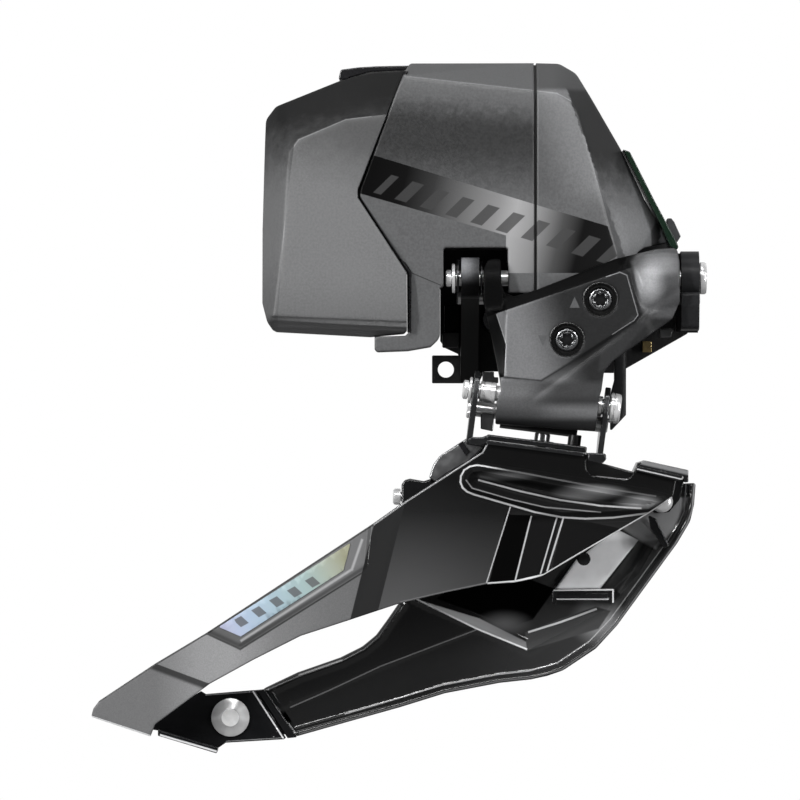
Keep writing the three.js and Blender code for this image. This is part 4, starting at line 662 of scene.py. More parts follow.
# ------------------------------------------------------------------ housing
H_FACE = round_poly([(-19.5, 40.95), (-15.5, 40.417), (6.167, 38), (10, 37.583), (13.167, 35), (15.167, 28.333), (20, 10.5), (20.833, 7.167), (20.833, -13.667), (-26.167, -13.667), (-26.167, 43)], 0, radii={3: 3.0, 4: 3.2, 5: 8})
H_OUT = round_poly([(-14.5, 42.583), (6.217, 42.75), (6.217, 4.167), (1.917, 4.167), (1.833, 11.75), (-8.917, 11.75), (-8.917, 5.333), (-9.5, 5), (-9.5, -3.333), (-11, -4.75), (-14.833, -5.417), (-20, -5.617), (-20.417, -5.25), (-20.417, -3.1), (-15.25, -2.933), (-14.7, -2.333), (-14.733, 7.667), (-22.867, 20.2), (-22.867, 21.3), (-17.067, 37), (-15.333, 41.25)], 0, radii={0: 0.8, 4: 0.4, 5: 0.5, 7: 0.3, 8: 1.6, 9: 0.6, 11: 0.6, 12: 0.4, 14: 0.4, 17: 0.6, 18: 0.3, 20: 1.5})
def house_front(P):
    d = sdf(P, H_FACE)
    y = -34.5 + softplus(d, 0.10) * 1.35
    # soft crown under the top ridge, flattening downwards
    y = y + 0.55 * np.exp(-np.maximum(-d, 0) / 2.6)
    # the face falls back a little below the line of the band's lower edge
    s = side(P, [(-23.083, 20.833)][0], [(1.333, 13.833)][0])
    y = y + 0.10 * softplus(-s, 0.10)
    leg = step(P[:, 1], 5.6, 5.0) * step(P[:, 0], -9.0, -9.3)
    return np.minimum(y, -24)
def house_back(P): return np.where((P[:, 1] < 9.6) & (P[:, 0] > 1.0), -33.3, -6.0)
ob = relief('housing_rear', H_OUT, house_front, house_back, M_HOUSE, 'mount_frame', ('motor_housing',), grid=0.6, edge=0.35, rf=0.28, rb=0.6,
            creases=[[(1.083, 9.6), (6.167, 9.6)], H_FACE, [(-23.067, 20.833), (1.333, 13.833), (6.167, 12.5)], [(-14.733, 7.75), (-9.417, 5.5)]])
C_OUT = round_poly([(6.65, 42.75), (10.5, 42.667), (13.333, 41), (20.833, 28.333), (24.833, 20), (27.833, 15), (28.833, 12.833), (24.667, 11.833), (23.5, 11), (23.333, 4.167), (6.65, 4.167)], 0, radii={1: 2.0, 2: 2.6, 6: 0.3, 7: 0.8, 8: 0.5})
def cover_front(P):
    d = sdf(P, H_FACE)
    y = -34.5 + softplus(d, 0.10) * 1.35
    y = y + 0.55 * np.exp(-np.maximum(-d, 0) / 2.6)
    # the sloping front facet swells a little towards the bottom
    t = step(P[:, 1], 30, 14) * step(d, 0.4, 3.0)
    y = y - t * 0.9
    # small flat return at the lower front corner
    c = side(P, [(24, 11.333)][0], [(27.167, 17)][0])
    y = y + 1.1 * softplus(-c, 0.08) * step(P[:, 1], 18, 16.5) * step(P[:, 0], 23.4, 24.6)
    s = side(P, [(-23.083, 20.833)][0], [(1.333, 13.833)][0])
    y = y + 0.10 * softplus(-s, 0.10) * step(d, 0.5, -0.5)
    return np.minimum(y, -22)
ob = relief('housing_front_cover', C_OUT, cover_front, house_back, M_HOUSE, 'mount_frame', ('housing_cover',), grid=0.5, edge=0.35, rf=0.28, rb=0.6,
            creases=[[(6.833, 9.6), (23.833, 9.6)], H_FACE, [(24, 11.333), (27.167, 17)]])
G_OUT = [(6.15, 42.417), (6.717, 42.417), (6.717, 4.5), (6.15, 4.5)]
def gasket_front(P): return np.minimum(house_front(P) + 0.75, -20)
ob = relief('seam_gasket', [(p[0], p[1]) for p in G_OUT], gasket_front, lambda P: np.full(len(P), -30.0), M_GASKET, 'mount_frame', grid=0.5, edge=0.4, rf=0.0, rb=0)
extrude('battery_seat', [(-15.4, 41.25), (-23.167, 21.333), (-23.133, 20.1), (-15, 7.583), (-14.933, -2.167), (-14.333, -2.5), (-14.25, 7.75), (-22.167, 20.167), (-22.167, 21.333), (-16.667, 36.833), (-14.833, 41.167)], (-33.6, -8.0), M_PAD, 'mount_frame', (), bevel=0.0, map3=inY)

# latch: a glossy lever lying over the battery's top
L_OUT = round_poly([(-26.5, 40.167), (-26.133, 41.783), (-23.167, 42.167), (-20.167, 42.35), (-14.667, 42.467), (-13.333, 42), (-13, 40.833), (-13.833, 40), (-14.75, 40.417), (-15.167, 41.767), (-21.167, 41.45), (-24.667, 40.467), (-25, 40.133)], 0.25, radii={1: 0.5})
extrude('latch_lever_fine', L_OUT, (-24.2, -14.2), M_LATCH, 'latch', ('latch_lever',), bevel=0.22, map3=inY)
# indicator plate with its button
I_OUT = round_poly([(21.167, 28.333), (22.333, 27.917), (26.5, 19.667), (28, 16.833), (30.167, 12.833), (30.5, 11.917), (30.083, 11.333), (29, 12.25), (27.833, 15), (25.5, 19.667)], 0, radii={1: 0.6, 5: 0.5, 6: 0.4})
extrude('indicator_plate_fine', I_OUT, (-27.5, -12.0), M_GREEN, 'mount_frame', ('indicator_plate',), bevel=0.2, map3=inY)
Bt = round_poly([(28.65, 16.5), (28.8, 16.867), (29.417, 16.867), (29.917, 16.25), (31, 13.833), (30.417, 12.833), (30.083, 13.25), (29.217, 13.833)], 0.12)
extrude('function_button_fine', Bt, (-22.6, -17.4), M_BUTTON, 'button', ('function_button',), bevel=0.18, map3=inY)

# ------------------------------------------------------------- mount bracket
def arm(name, poly, x0, x1, mat, bevel=0.35):
    return extrude(name, poly, (x0, x1), mat, 'mount_frame', (), bevel=bevel, map3=inX)
rear_poly = [(-2.2, 10.2), (-2.2, -10.7), (-9, -10.7), (-24, -0.6), (-31.6, 3.2)] + arc(-31.0, 6.67, 3.5, 260, 90, 14)
front_poly = [(-2.2, 10.2), (-2.2, -2.0), (-27, -2.4)] + round_poly([(-27, -2.4), (-34.2, -1.8), (-35.5, 2.0), (-35.4, 5.2)], 1.2)[1:-1] + arc(-31.0, 6.67, 4.5, 200, 90, 12)
a1 = arm('rear_arm', rear_poly, -5.92, -2.95, M_ARM, 0.45)
a2 = arm('front_arm', front_poly, 30.73, 33.75, M_ARM, 0.55)
web = extrude('bracket_web', round_poly([(-9.333, 12.083), (2.167, 12.083), (10.5, 12.083), (23.833, 13.333), (29.833, 13.333), (30.833, 11.333), (33.75, 10.333), (33.75, -1.167), (32.5, -2.5), (21.333, -8.833), (20, -9.083), (0.5, -8.833), (-1.833, -8.833), (-2.833, -10.833), (-5.5, -10.833), (-5.5, -7.833), (-6.333, -5.833), (-8.5, -4.833), (-9.333, -3.667)], 0.3, radii={7: 1.0, 8: 1.2}), (-5.6, -2.0), M_DARKARM, 'mount_frame', ('mount_bracket',), bevel=0.3, map3=inY, holes=[circle(0, 0, 2.52, 32)])
sad = extrude('saddle_pad', [(-5.8, -2.1), (-5.8, -0.8), (-3.9, 0), (3.9, 0), (5.8, -0.8), (5.8, -2.1)], (9.3, -8.3), M_DARKARM, 'mount_frame', (), bevel=0.2, map3=lambda u, v, t: (u, v, t))
tab_c = ([(-8.367, -8.5)][0])
tab = extrude('support_tab', round_poly([(-10.717, -6.083), (-5.333, -6.083), (-5.333, -10.833), (-10.717, -10.833)], 0.2), (-4.2, -1.2), M_DARKARM, 'mount_frame', (), bevel=0.18, map3=inY, holes=[circle(tab_c[0], tab_c[1], 1.37, 40)])
# side blocks seen through the gap between housing leg and rear arm
extrude('bracket_lug_a', [(-8.667, 2.417), (-6.083, 2.417), (-6.083, -2.167), (-8.667, -2.167)], (-12.0, -5.5), M_ARM, 'mount_frame', (), bevel=0.2, map3=inY)
extrude('bracket_lug_b', round_poly([(-9, -2.2), (-6.083, -2.2), (-6.083, -4.833), (-9, -4.833)], 0.3), (-14.0, -5.5), M_DARKARM, 'mount_frame', (), bevel=0.2, map3=inY)
extrude('brass_stop_fine', [(24.95, -3.667), (26.5, -3.667), (26.5, -5.55), (24.95, -5.55)], (-7.3, -5.65), M_BRASS, 'mount_frame', ('brass_stop',), bevel=0.1, map3=inY)
extrude('bracket_pad', round_poly([(27.667, -1.75), (30.083, -1.583), (29.667, -3), (27.833, -3.083)], 0.15), (-12.5, -8.0), M_GREY, 'mount_frame', (), bevel=0.12, map3=inY)

X3 = (1, 0, 0)
UO, UI = (0, -31.0, 6.67), (0, -20.0, 3.67)
turned('upper_pin', UO, X3, [(-8.55, 0), (-8.55, 1.15), (-8.4, 1.38), (-7.7, 1.4), (-7.6, 1.0), (-7.4, 1.0), (-7.4, 1.3), (33.9, 1.3), (33.9, 2.55), (34.05, 2.68), (34.7, 2.68), (34.98, 2.5), (35.05, 2.0), (35.0, 1.3), (34.5, 1.2), (34.5, 0)], M_STEEL, 'mount_frame', ('upper_outer_pin',))
turned('upper_washer', UO, X3, [(-7.5, 2.3), (-7.42, 2.47), (-7.0, 2.47), (-6.92, 2.3)], M_STEEL, 'mount_frame', ('upper_pin_washer',), bore=1.4)
turned('upper_wave', UO, X3, [(-6.7, 3.05), (-6.62, 3.17), (-6.38, 3.17), (-6.3, 3.05)], M_SCREW_DK, 'mount_frame', ('upper_wave_washer',), bore=1.4)
turned('link_shim_fine', UO, X3, [(-2.75, 2.8), (-2.68, 2.9), (-2.47, 2.9), (-2.4, 2.8)], M_SCREW_DK, 'mount_frame', ('link_shim',), bore=1.4)
turned('upper_inner_pin_fine', UI, X3, [(-6.6, 0), (-6.6, 1.15), (-6.4, 1.3), (34.1, 1.3), (34.3, 1.15), (34.3, 0)], M_STEEL, 'mount_frame', ('upper_inner_pin',))

# ---------------------------------------------------------------- outer link
FT, FLW = (-37.9, 6.67), (-40.2, -12.4)
fl = math.hypot(FLW[0] - FT[0], FLW[1] - FT[1])
FN = (0, -(FT[1] - FLW[1]) / fl, (FLW[0] - FT[0]) / fl)
def facet_y(z): return FT[0] + (FT[1] - z) / (FT[1] - FLW[1]) * (FLW[0] - FT[0])
A_POLY = round_poly([(-0.25, 0.667), (20.4, 7.717), (21.75, 7.167), (23.55, 0.45), (22.9, -0.5), (7.167, -10.267), (1.083, -9.667), (1.417, -4.5)], 0.2, radii={1: 0.7, 2: 0.7, 3: 0.9, 4: 0.9, 5: 1.0})
K_OUT = round_poly([(-2.167, 8.333), (-1.5, 9.75), (0.583, 9.917), (0.75, 5.5), (1.333, 4.167), (2.833, 3.583), (6.5, 4.667), (19.667, 9.833), (26.667, 11.5), (30, 11.667), (30.383, 9.333), (30.417, 2.667), (29.167, -0.167), (19.167, -7.25), (17.75, -9), (17.333, -12), (16.95, -13.333), (16.3, -18.917), (-0.3, -17.7), (0, -13.5), (0.667, -12), (0.5, -10.333), (-0.833, -3.667), (-2.333, 3)], 0, radii={1: 0.8, 2: 0.6, 4: 1.0, 5: 0.6, 6: 0.8, 9: 0.8, 11: 1.6, 12: 1.5, 13: 1.5, 14: 1.4, 17: 0.3, 18: 0.3})
H_C, L_C = (17.17, 3.0), (11.6, -3.7)
def lowdist(P):
    """Height of each point over the lower pivot's axis, measured across it."""
    return (P[:, 0] - LOW[0]) * SYW + (P[:, 1] - LOW[2]) * CYW
def link_front(P):
    x, z = P[:, 0], P[:, 1]
    base = facet_y(z) + 0.0022 * (x - 8) ** 2 * 0.6
    d = sdf(P, A_POLY)
    y = base + 0.62 * (1 - np.exp(-np.maximum(d, 0) / 0.45)) * step(d, 0, 0.25)
    # the top bevel falls back to the edge
    t = side(P, [(-0.25, 0.667)][0], [(20.4, 7.717)][0])
    y = np.maximum(y, base + 1.15 * softplus(t, 0.07) * step(P[:, 0], 22.5, 20.0))
    # left flank under the rear ear falls away
    lf = -side(P, [(1.083, -9.667)][0], [(1.417, -4.5)][0]); lf2 = -side(P, [(1.417, -4.5)][0], [(-0.25, 0.667)][0])
    l = np.where(z > -4.5, -lf2, -lf)
    left = np.maximum(0, [(0, -4.5)][0][0] + 1.35 - x)
    y = y + np.where((z < 1.2) & (z > -10.2), 1.9 * softplus(np.minimum([(1.25, -4.5)][0][0] + 0.02 * 0 - x - 0.0 * z, 3.5) * step(z, -10.3, -9.2), 0.10), 0)
    # rear ear: rounded boss about the upper pivot
    yr = np.where(z > 5.6, -31.0 - np.sqrt(np.maximum(5.6 ** 2 - (z - 5.6) ** 2, 0.5)), -36.6)
    we = step(x, [(1.417, 3)][0][0], [(0.917, 3)][0][0]) * step(z, -1.5, 2.6)
    y = y * (1 - we) + yr * we
    # front boss about the upper pivot, blended into the facet's right edge
    yb = -31.0 - np.sqrt(np.maximum(7.1 ** 2 - (z - 5.4) ** 2, 1.0)) + 0.02 * np.abs(x - 26) ** 2
    wgt = step(side(P, [(23.833, -0.333)][0], [(21.5, 8.333)][0]), -0.2, -2.2)
    low = step(z, -1.0, -4.5)
    y = y * (1 - wgt) + wgt * (np.minimum(yb, y + 0.4) * (1 - low) + (y + 0.1) * low)
    # groove along the facet's lower edge
    g = side(P, [(22.833, -0.833)][0], [(6, -13.333)][0])
    along = step(x, 4.5, 8.0)
    y = y + 0.28 * np.exp(-((g + 0.15) / 0.6) ** 2) * along * step(d, -0.1, 0.15)
    # below the lower pivot the link rounds under
    h = lowdist(P)
    yc = LOW[1] - np.sqrt(np.maximum(5.02 ** 2 - h ** 2, 0.0))
    y = np.where(h < 0.6, smax(y, yc, 0.12), y)
    return np.minimum(y, -31.5)
def link_back(P):
    h = lowdist(P); x, z = P[:, 0], P[:, 1]
    y = np.where(h < 4.6, LOW[1] + np.sqrt(np.maximum(5.0 ** 2 - np.clip(h, -5, 5) ** 2, 0.0)), -36.4)
    y = np.where((h >= 4.0) & (h < 4.6), -33.0, y)
    y = np.where((z > 1.0) & (x < 1.0), -28.0, y)
    y = np.where((z > 0.0) & (x > 24.9), -26.6, y)
    return y
hs = [circle(H_C[0], H_C[1], 2.84, 56), circle(L_C[0], L_C[1], 2.84, 56)]
link = relief('outer_link_fine', K_OUT, link_front, link_back, M_ALLOY, 'outer_link', ('outer_link',), holes=hs, grid=0.42, edge=0.3, rf=0.22, rb=0.2,
              creases=[A_POLY + [A_POLY[0]], [(-0.333, 0.833), (1.417, -4.5), (1, -9.667)], [(22.833, -0.833), (6, -13.333)], [(1, 3.5), (1, 9.333)], [(-0.333, 1.333), (3.833, 2.5)]], angle=44)
FNv = Vector(FN)
for nm, (cx, cz), body, node in (('high', H_C, 'high_limit_screw', 'high_limit_screw'), ('low', L_C, 'low_limit_screw', 'low_limit_screw')):
    p = (cx, facet_y(cz), cz)
    turned(nm + '_counterbore', p, FN, [(-1.2, 2.86), (-0.1, 2.86), (0.0, 2.95), (0.05, 2.86), (0.0, 2.72), (-0.5, 2.55), (-0.72, 2.35), (-0.75, 2.02), (-1.2, 2.0)], M_BORE, 'outer_link', n=64)
    turned(nm + '_screw_fine', p, FN, [(-3.2, 0), (-3.2, 1.5), (-0.75, 1.86), (-0.4, 1.9), (-0.18, 1.82), (-0.08, 1.66), (-0.12, 1.5), (-0.22, 1.42), (-0.9, 1.36), (-0.95, 0)], M_SCREW, body, (node,), n=64)
    # six-lobed socket
    lob = []
    for i in range(72):
        q = 2 * math.pi * i / 72 + (0.15 if nm == 'high' else 0.5); lob.append((math.cos(q) * (1.02 + 0.17 * math.cos(6 * q)), math.sin(q) * (1.02 + 0.17 * math.cos(6 * q))))
    D, U, V = frame_of(FN); P0 = Vector(p)
    def place(u, v, t, D=D, U=U, V=V, P0=P0): return tuple(P0 + D * t + U * u + V * v)
    extrude(nm + '_socket_ring', circle(0, 0, 1.4, 56), (-0.9, -0.32), M_SCREW, body, (), bevel=0.0, map3=place, holes=[lob])
    turned(nm + '_socket_floor', p, FN, [(-0.93, 0), (-0.93, 1.35), (-0.88, 1.35), (-0.8, 0.5), (-0.72, 0)], M_SCREW_DK, body, n=40)

def mark(name, pts, body):
    """Small printed triangle lying on the sloping face."""
    V = [(x, facet_y(z) + 0.0022 * 0.6 * (x - 8) ** 2 - 0.02, z) for x, z in pts]
    n = len(V); V += [(a, b + 0.015, c) for a, b, c in V]
    F = [tuple(range(n)), tuple(range(2 * n - 1, n - 1, -1))] + [(i, i + n, (i + 1) % n + n, (i + 1) % n) for i in range(n)]
    return finish_mesh(name, V, F, M_MARK, body, smooth=False)
mark('mark_outer', [(12.05, 1.667), (13.717, 1.667), (12.883, 3.5)], 'outer_link')
mark('mark_inner', [(6.8, -2.917), (8.367, -2.917), (7.583, -4.75)], 'outer_link')

# --------------------------------------------------- inner link's front leg
relief('inner_link_front_leg', round_poly([(19.75, 3), (21.733, 3), (21.733, -16.167), (19.067, -19), (19.067, -12.833), (19.75, -10.333)], 0.2), lambda P: np.full(len(P), -26.2) + 0.0 * P[:, 0] + 0.35 * softplus(P[:, 0] - 20.9, 0.1), lambda P: np.full(len(P), -23.8), M_ARM, 'inner_link', grid=0.8, rf=0.2, rb=0.2)

# --------------------------------------------------------- cage outer plate
P_OUT = round_poly([(-1.583, -20.5), (-2.5, -22.25), (-15.233, -30.4), (-20.7, -34.25), (-48.5, -52.5), (-56.833, -57.5), (-66.333, -63.833), (-67.333, -65.167), (-67.667, -66.5), (-57.75, -69.75), (-57, -67.75), (-47.833, -60.917), (-40.583, -56.917), (-32.667, -52.917), (-23.233, -49.833), (-16.167, -47.5), (-8.667, -45.717), (-1.833, -44.333), (2.917, -44.05), (5.5, -43.583), (7.6, -42.917), (11.583, -40.567), (25.167, -32.583), (27.667, -30.917), (29.3, -29.833), (29.833, -26.917), (22.933, -25.45), (22.333, -26.417), (21.45, -26.833), (15.833, -26.2), (14.917, -25.5), (14.75, -24.5), (14.9, -22.333)], 0, radii={0: 0.6, 1: 0.8, 6: 1.2, 7: 1.0, 8: 0.4, 9: 0.2, 11: 5, 19: 3, 20: 3, 21: 2, 23: 1.5, 24: 0.8, 25: 0.3, 26: 0.5, 27: 0.6, 28: 0.8, 29: 0.8, 30: 0.8, 31: 0.5})
RIB = round_poly([(-5.917, -27.5), (-5.5, -25.75), (-4.333, -24.75), (-2.833, -24.667), (3.833, -25.833), (10.5, -27.083), (17.167, -28.167), (23.833, -29.333), (28.667, -30.167), (27.167, -31.5), (25, -32.75), (17.167, -33.083), (10.667, -33.167), (6.333, -32.167), (2.333, -31.167), (-1.167, -30.167), (-4.333, -29.25), (-5.5, -28.5)], 1.0)
RIB_LINE = [(-2.833, -26.667), (3.833, -28.417), (10.5, -30), (17.167, -31.167), (24.667, -31.667)]
BADGE = round_poly([(-48.667, -52.333), (-42.75, -55.083), (-21.5, -41.75), (-20.667, -34.167), (-20.7, -33.333), (-49.5, -51.667)], 0.5, radii={1: 1.0, 2: 1.6})
def sline(s0, ya, yb): return [(s0 + 0.249 * (318 - y) / 6, (318 - y) / 6) for y in (ya, yb)]
def plate_s(P): return P[:, 0] - 0.249 * P[:, 1]
def outer_h(P):
    x, z = P[:, 0], P[:, 1]; s = plate_s(P)
    y = np.full(len(P), -37.6)
    # rear arm: steps outboard across a narrow band, then runs slowly inboard towards the tail
    y = y - 0.55 * step(s, -7.7, -11.7) + 0.050 * softplus(-11.9 - s, 0.15)
    t = -side(P, TAIL_LINE[0], TAIL_LINE[1])
    y = y + 0.16 * softplus(t, 0.08)
    # dished band in the middle, under the rib
    under = step(side(P, [(-9.5, -29)][0], [(10.667, -33.667)][0]), 0.6, -0.2) * step(side(P, [(7.167, -33.5)][0], [(30.5, -32.5)][0]), 0.9, -0.3)
    dish = 0.85 * step(s, 9.5, 13.7) - 0.15 * step(s, 13.9, 18.5) - 0.55 * step(s, 18.6, 19.5) + 0.02 * softplus(s - 19.5, 0.2)
    y = y + dish * np.clip(under, 0, 1)
    y = y - 0.05 * np.exp(-((s - 9.5) / 0.22) ** 2) * under - 0.05 * np.exp(-((s - 14.0) / 0.25) ** 2) * under - 0.08 * np.exp(-((s - 18.55) / 0.2) ** 2) * under
    # top part leans in towards the flange
    up = side(P, [(-4.5, -28)][0], [(30.5, -33.333)][0])
    y = y + 0.045 * softplus(up - 1.0, 0.3)
    # long pressed rib: a bead round a shallow trough
    d = sdf(P, RIB)
    y = y - 0.95 * np.exp(-((d + 0.85) / 0.55) ** 2) + 0.42 * step(-d, 1.5, 2.3)
    dl = dist_to(P, RIB_LINE, closed=False)
    y = y - 0.5 * np.exp(-(dl / 0.34) ** 2) * step(-d, 0.3, 0.9)
    # raised panel for the badge
    b = sdf(P, BADGE)
    y = y - 0.72 * step(-b, 0.0, 0.95)
    return y
relief('cage_outer_fine', P_OUT, outer_h, lambda P: outer_h(P) + 0.9, M_PLATE, 'cage', ('cage_outer_plate',), grid=0.6, edge=0.35, rf=0.24, rb=0.15, angle=50,
       creases=[[(-56.833, -57.833), (-47.833, -61)], [(-57.333, -59), (-48.667, -62.333)]],
       beads=[(RIB, True, (-0.1, -0.35, -0.6, -0.85, -1.1, -1.35, -1.7, -2.1, 0.2)), (RIB_LINE, False, (0.0, 0.2, 0.4, 0.6)), (sline(9.5, 500, 590), False, (0.0, 0.12, 0.26, 0.45)), (sline(14.0, 510, 588), False, (0.0, 0.14, 0.3, 0.5)), (sline(18.55, 512, 585), False, (0.0, 0.12, 0.25, 0.4)), (sline(19.4, 512, 585), False, (0.0, 0.15)), (sline(-7.7, 490, 612), False, (0.0, 0.3)), (sline(-9.7, 490, 612), False, (0.0, 0.5, 1.0)), (sline(-11.7, 490, 622), False, (0.0, 0.3)), (BADGE, True, (-0.05, -0.3, -0.5, -0.7, -0.95, 0.1))])
FINE_LINE = 0.3
LBL = round_poly([(-46.333, -51.433), (-42.667, -53), (-25.583, -42), (-24.367, -37.383)], 0.15)
_q = arr(LBL); _w = np.linalg.lstsq(np.c_[_q, np.ones(len(_q))], outer_h(_q), rcond=None)[0]
def label_h(P): return np.c_[P, np.ones(len(P))] @ _w
relief('cage_badge_fine', LBL, lambda P: label_h(P) - 0.16, lambda P: label_h(P) + 0.05, M_BADGE, 'cage', ('cage_badge',), grid=1.2, edge=0.5, rf=0.03, rb=0)
# flange along the top, and the front bridge over to the inner plate
extrude('cage_top_flange', [(0.55, -7.9), (17.3, -7.9), (17.3, -6.95), (0.55, -6.95)], (-38.0, -33.4), M_PLATE_IN, 'cage', (), bevel=0.28, map3=inLowY)
extrude('cage_top_bead', round_poly([(0.6, -8.6), (16.9, -8.6), (16.9, -8.0), (0.6, -8.0)], 0.1), (-38.15, -37.3), M_YOKE, 'cage', (), bevel=0.2, map3=inLowY)
extrude('cage_front_bridge', round_poly([(22.583, -25.833), (23.333, -24.167), (24.667, -23.75), (31.833, -25.333), (31.833, -27.333), (31.167, -27.417), (31, -26.333), (23.333, -24.917), (23.083, -26)], 0.15), (-37.4, -25.6), M_BRIDGE, 'cage', (), bevel=0.2, map3=inY)
extrude('cage_front_bridge_edge', round_poly([(22.833, -25.417), (23.333, -24.583), (30.833, -26.25), (30.5, -27.25)], 0.1), (-38.1, -37.0), M_BRIDGE, 'cage', (), bevel=0.2, map3=inY)
extrude('cage_front_lip', round_poly([(23.833, -25.333), (31.5, -27), (30.667, -30.333), (28.833, -32.5), (26.333, -32.667), (24.667, -29.667)], 0.8), (-27.3, -26.4), M_PLATE_IN, 'cage', (), bevel=0.2, map3=inY)

# --------------------------------------------------------- cage inner plate
I_PL = round_poly([(-39.167, -62.167), (-38.5, -61.783), (-33.333, -59.333), (-26.167, -56.833), (-22.5, -55), (-20.167, -53.083), (-18.167, -50.333), (-16.333, -47.667), (-16.5, -40.333), (-15.833, -31.167), (-14.5, -28.667), (-11.167, -27.333), (-10.5, -24.667), (-9.5, -23.167), (-5.167, -20.833), (-2.833, -21.333), (15.5, -23.667), (22.833, -25.667), (31.5, -27.667), (33.45, -27.567), (33.167, -31.167), (32.5, -34), (30.333, -37.667), (20.25, -51.417), (16.667, -55.333), (11.167, -59), (8.5, -59.917), (5.833, -60.5), (0.5, -61.083), (-8.667, -62.833), (-16.167, -65.167), (-24.5, -67.5), (-33.333, -70), (-34.667, -69.333)], 0, radii={1: 0.5, 4: 3, 5: 3, 6: 3, 19: 0.4, 21: 3, 22: 3, 24: 3, 25: 4, 27: 5, 29: 8, 33: 0.8, 34: 0.8, 35: 0.6, 0: 0.5})
VEE = round_poly([(-14, -46.833), (5.333, -55.583), (18.5, -48.833), (23.833, -42.833), (27.167, -37), (20.5, -30.333), (-4.5, -33.667), (-16.167, -40.333)], 0.6, radii={1: 0.5})
PANEL = round_poly([(20.167, -35.333), (23.833, -37.167), (17.333, -45.333), (9.833, -45.333), (13.167, -40.667)], 0.3)
EDGE_LOW = round_poly([(33.45, -25.333), (33.167, -31.167), (32.5, -34), (30.333, -37.667), (20.25, -51.417), (16.667, -55.333), (11.167, -59), (8.5, -59.917), (5.833, -60.5), (0.5, -61.083), (-8.667, -62.833), (-16.167, -65.167), (-24.5, -67.5), (-33.333, -70), (-39.167, -62.167), (-39.167, -47), (33.45, -25.333)], 0, radii={2: 3, 3: 4, 5: 7, 7: 8})[:-3]
EDGE_TOP = [(-38.5, -61.783), (-33.333, -59.333), (-26.167, -56.833), (-22.5, -55), (-20.167, -53.083), (-18.167, -50.333), (-16.333, -47.667)]
def inner_h(P):
    x, z = P[:, 0], P[:, 1]
    y = np.full(len(P), -25.9)
    line = EDGE_LOW
    dl = dist_to(P, line, closed=False)
    y = y - 0.95 * np.exp(-((dl - 0.75) / 0.5) ** 2) * 1.0 - 0.55 * step(dl, 1.1, 0.4)
    top = EDGE_TOP
    dt = dist_to(P, top, closed=False)
    y = y - 0.75 * np.exp(-((dt - 0.6) / 0.45) ** 2)
    v = sdf(P, VEE)
    y = y + 1.35 * step(-v, 0.0, 1.9) - 0.30 * np.exp(-((v - 0.05) / 0.22) ** 2)
    p = sdf(P, PANEL)
    t = (z - [(15.5, -41.167)][0][1])
    y = y + np.where(p < 0, 1, 0) * 0 - (1.0 - 0.22 * np.clip(t, -5, 6)) * step(-p, -0.5, 0.25)
    c = side(P, [(-34.5, -64.333)][0], [(-3.167, -51.667)][0])
    y = y + 0.055 * softplus(c, 0.1) * step(v, 0.0, 0.6) - 0.10 * np.exp(-(c / 0.22) ** 2) * step(x, 0.5, -3.5) * step(v, 0.2, 0.8)
    e = side(P, [(5.333, -55.5)][0], [(23.833, -53.667)][0])
    y = y + 0.04 * softplus(e, 0.2) * step(v, 0.3, 1.0) * step(x, 5.0, 6.5)
    return y
relief('cage_inner_fine', I_PL, inner_h, lambda P: inner_h(P) + 0.85, M_INNER, 'cage', ('cage_inner_plate',), grid=0.6, edge=0.35, rf=0.25, rb=0.15, angle=50,
       creases=[[(-34.5, -64.333), (-3.167, -51.667)]],
       beads=[(EDGE_LOW, False, (0.3, 0.52, 0.75, 1.0, 1.25, 1.5)), (EDGE_TOP, False, (0.3, 0.6, 0.9, 1.2)), (VEE, True, (0.25, 0.02, -0.25, -0.6, -1.0, -1.4, -1.9)), (PANEL, True, (0.55, 0.3, 0.1, -0.1, -0.3))])
extrude('cage_inner_tail', round_poly([(-49, -64), (-40.667, -62.333), (-37.833, -62), (-32.833, -69.5), (-42.833, -70.333)], 0.5), (-25.9, -25.0), M_PLATE_IN, 'cage', (), bevel=0.15, map3=inY)
# clip-like chain pad
extrude('chain_pad_fine', round_poly([(9.333, -45.417), (19.75, -45.25), (19.75, -47.667), (19.167, -47.917), (18.833, -47.333), (10.167, -47.333), (9.833, -47.917), (9.333, -47.667)], 0.15), (-28.0, -25.4), M_PADG, 'cage', ('chain_pad',), bevel=0.2, map3=inY)
extrude('chain_pad_bar', round_poly([(10.5, -46.083), (18.667, -46), (18.667, -46.833), (10.5, -46.917)], 0.2), (-28.35, -27.8), M_PADG, 'cage', (), bevel=0.15, map3=inY)
# wedge on the front of the inner plate
extrude('front_wedge', round_poly([(25.333, -32.917), (26.667, -33.5), (28.917, -38.083), (28, -38.5), (25.833, -35.333)], 0.2), (-29.2, -26.0), M_PLATE_IN, 'cage', (), bevel=0.25, map3=inY)
turned('lower_nub', ([(14.5, -40.167)][0][0], -31.5, [(14.5, -40.167)][0][1]), (0, -1, 0), [(0, 1.1), (3.2, 1.1), (3.5, 0.9), (3.6, 0)], M_PLATE_IN, 'cage', n=32)
FR = [(27.667, -30.667)][0]
turned('front_rivet_fine', (FR[0], 0, FR[1]), (0, 1, 0), [(-28.0, 0), (-28.0, 1.0), (-27.85, 1.5), (-27.5, 1.85), (-27.35, 1.85), (-27.35, 1.0), (-24.9, 1.0), (-24.9, 1.8), (-24.5, 1.5), (-24.4, 0)], M_STEEL, 'cage', ('front_rivet',))

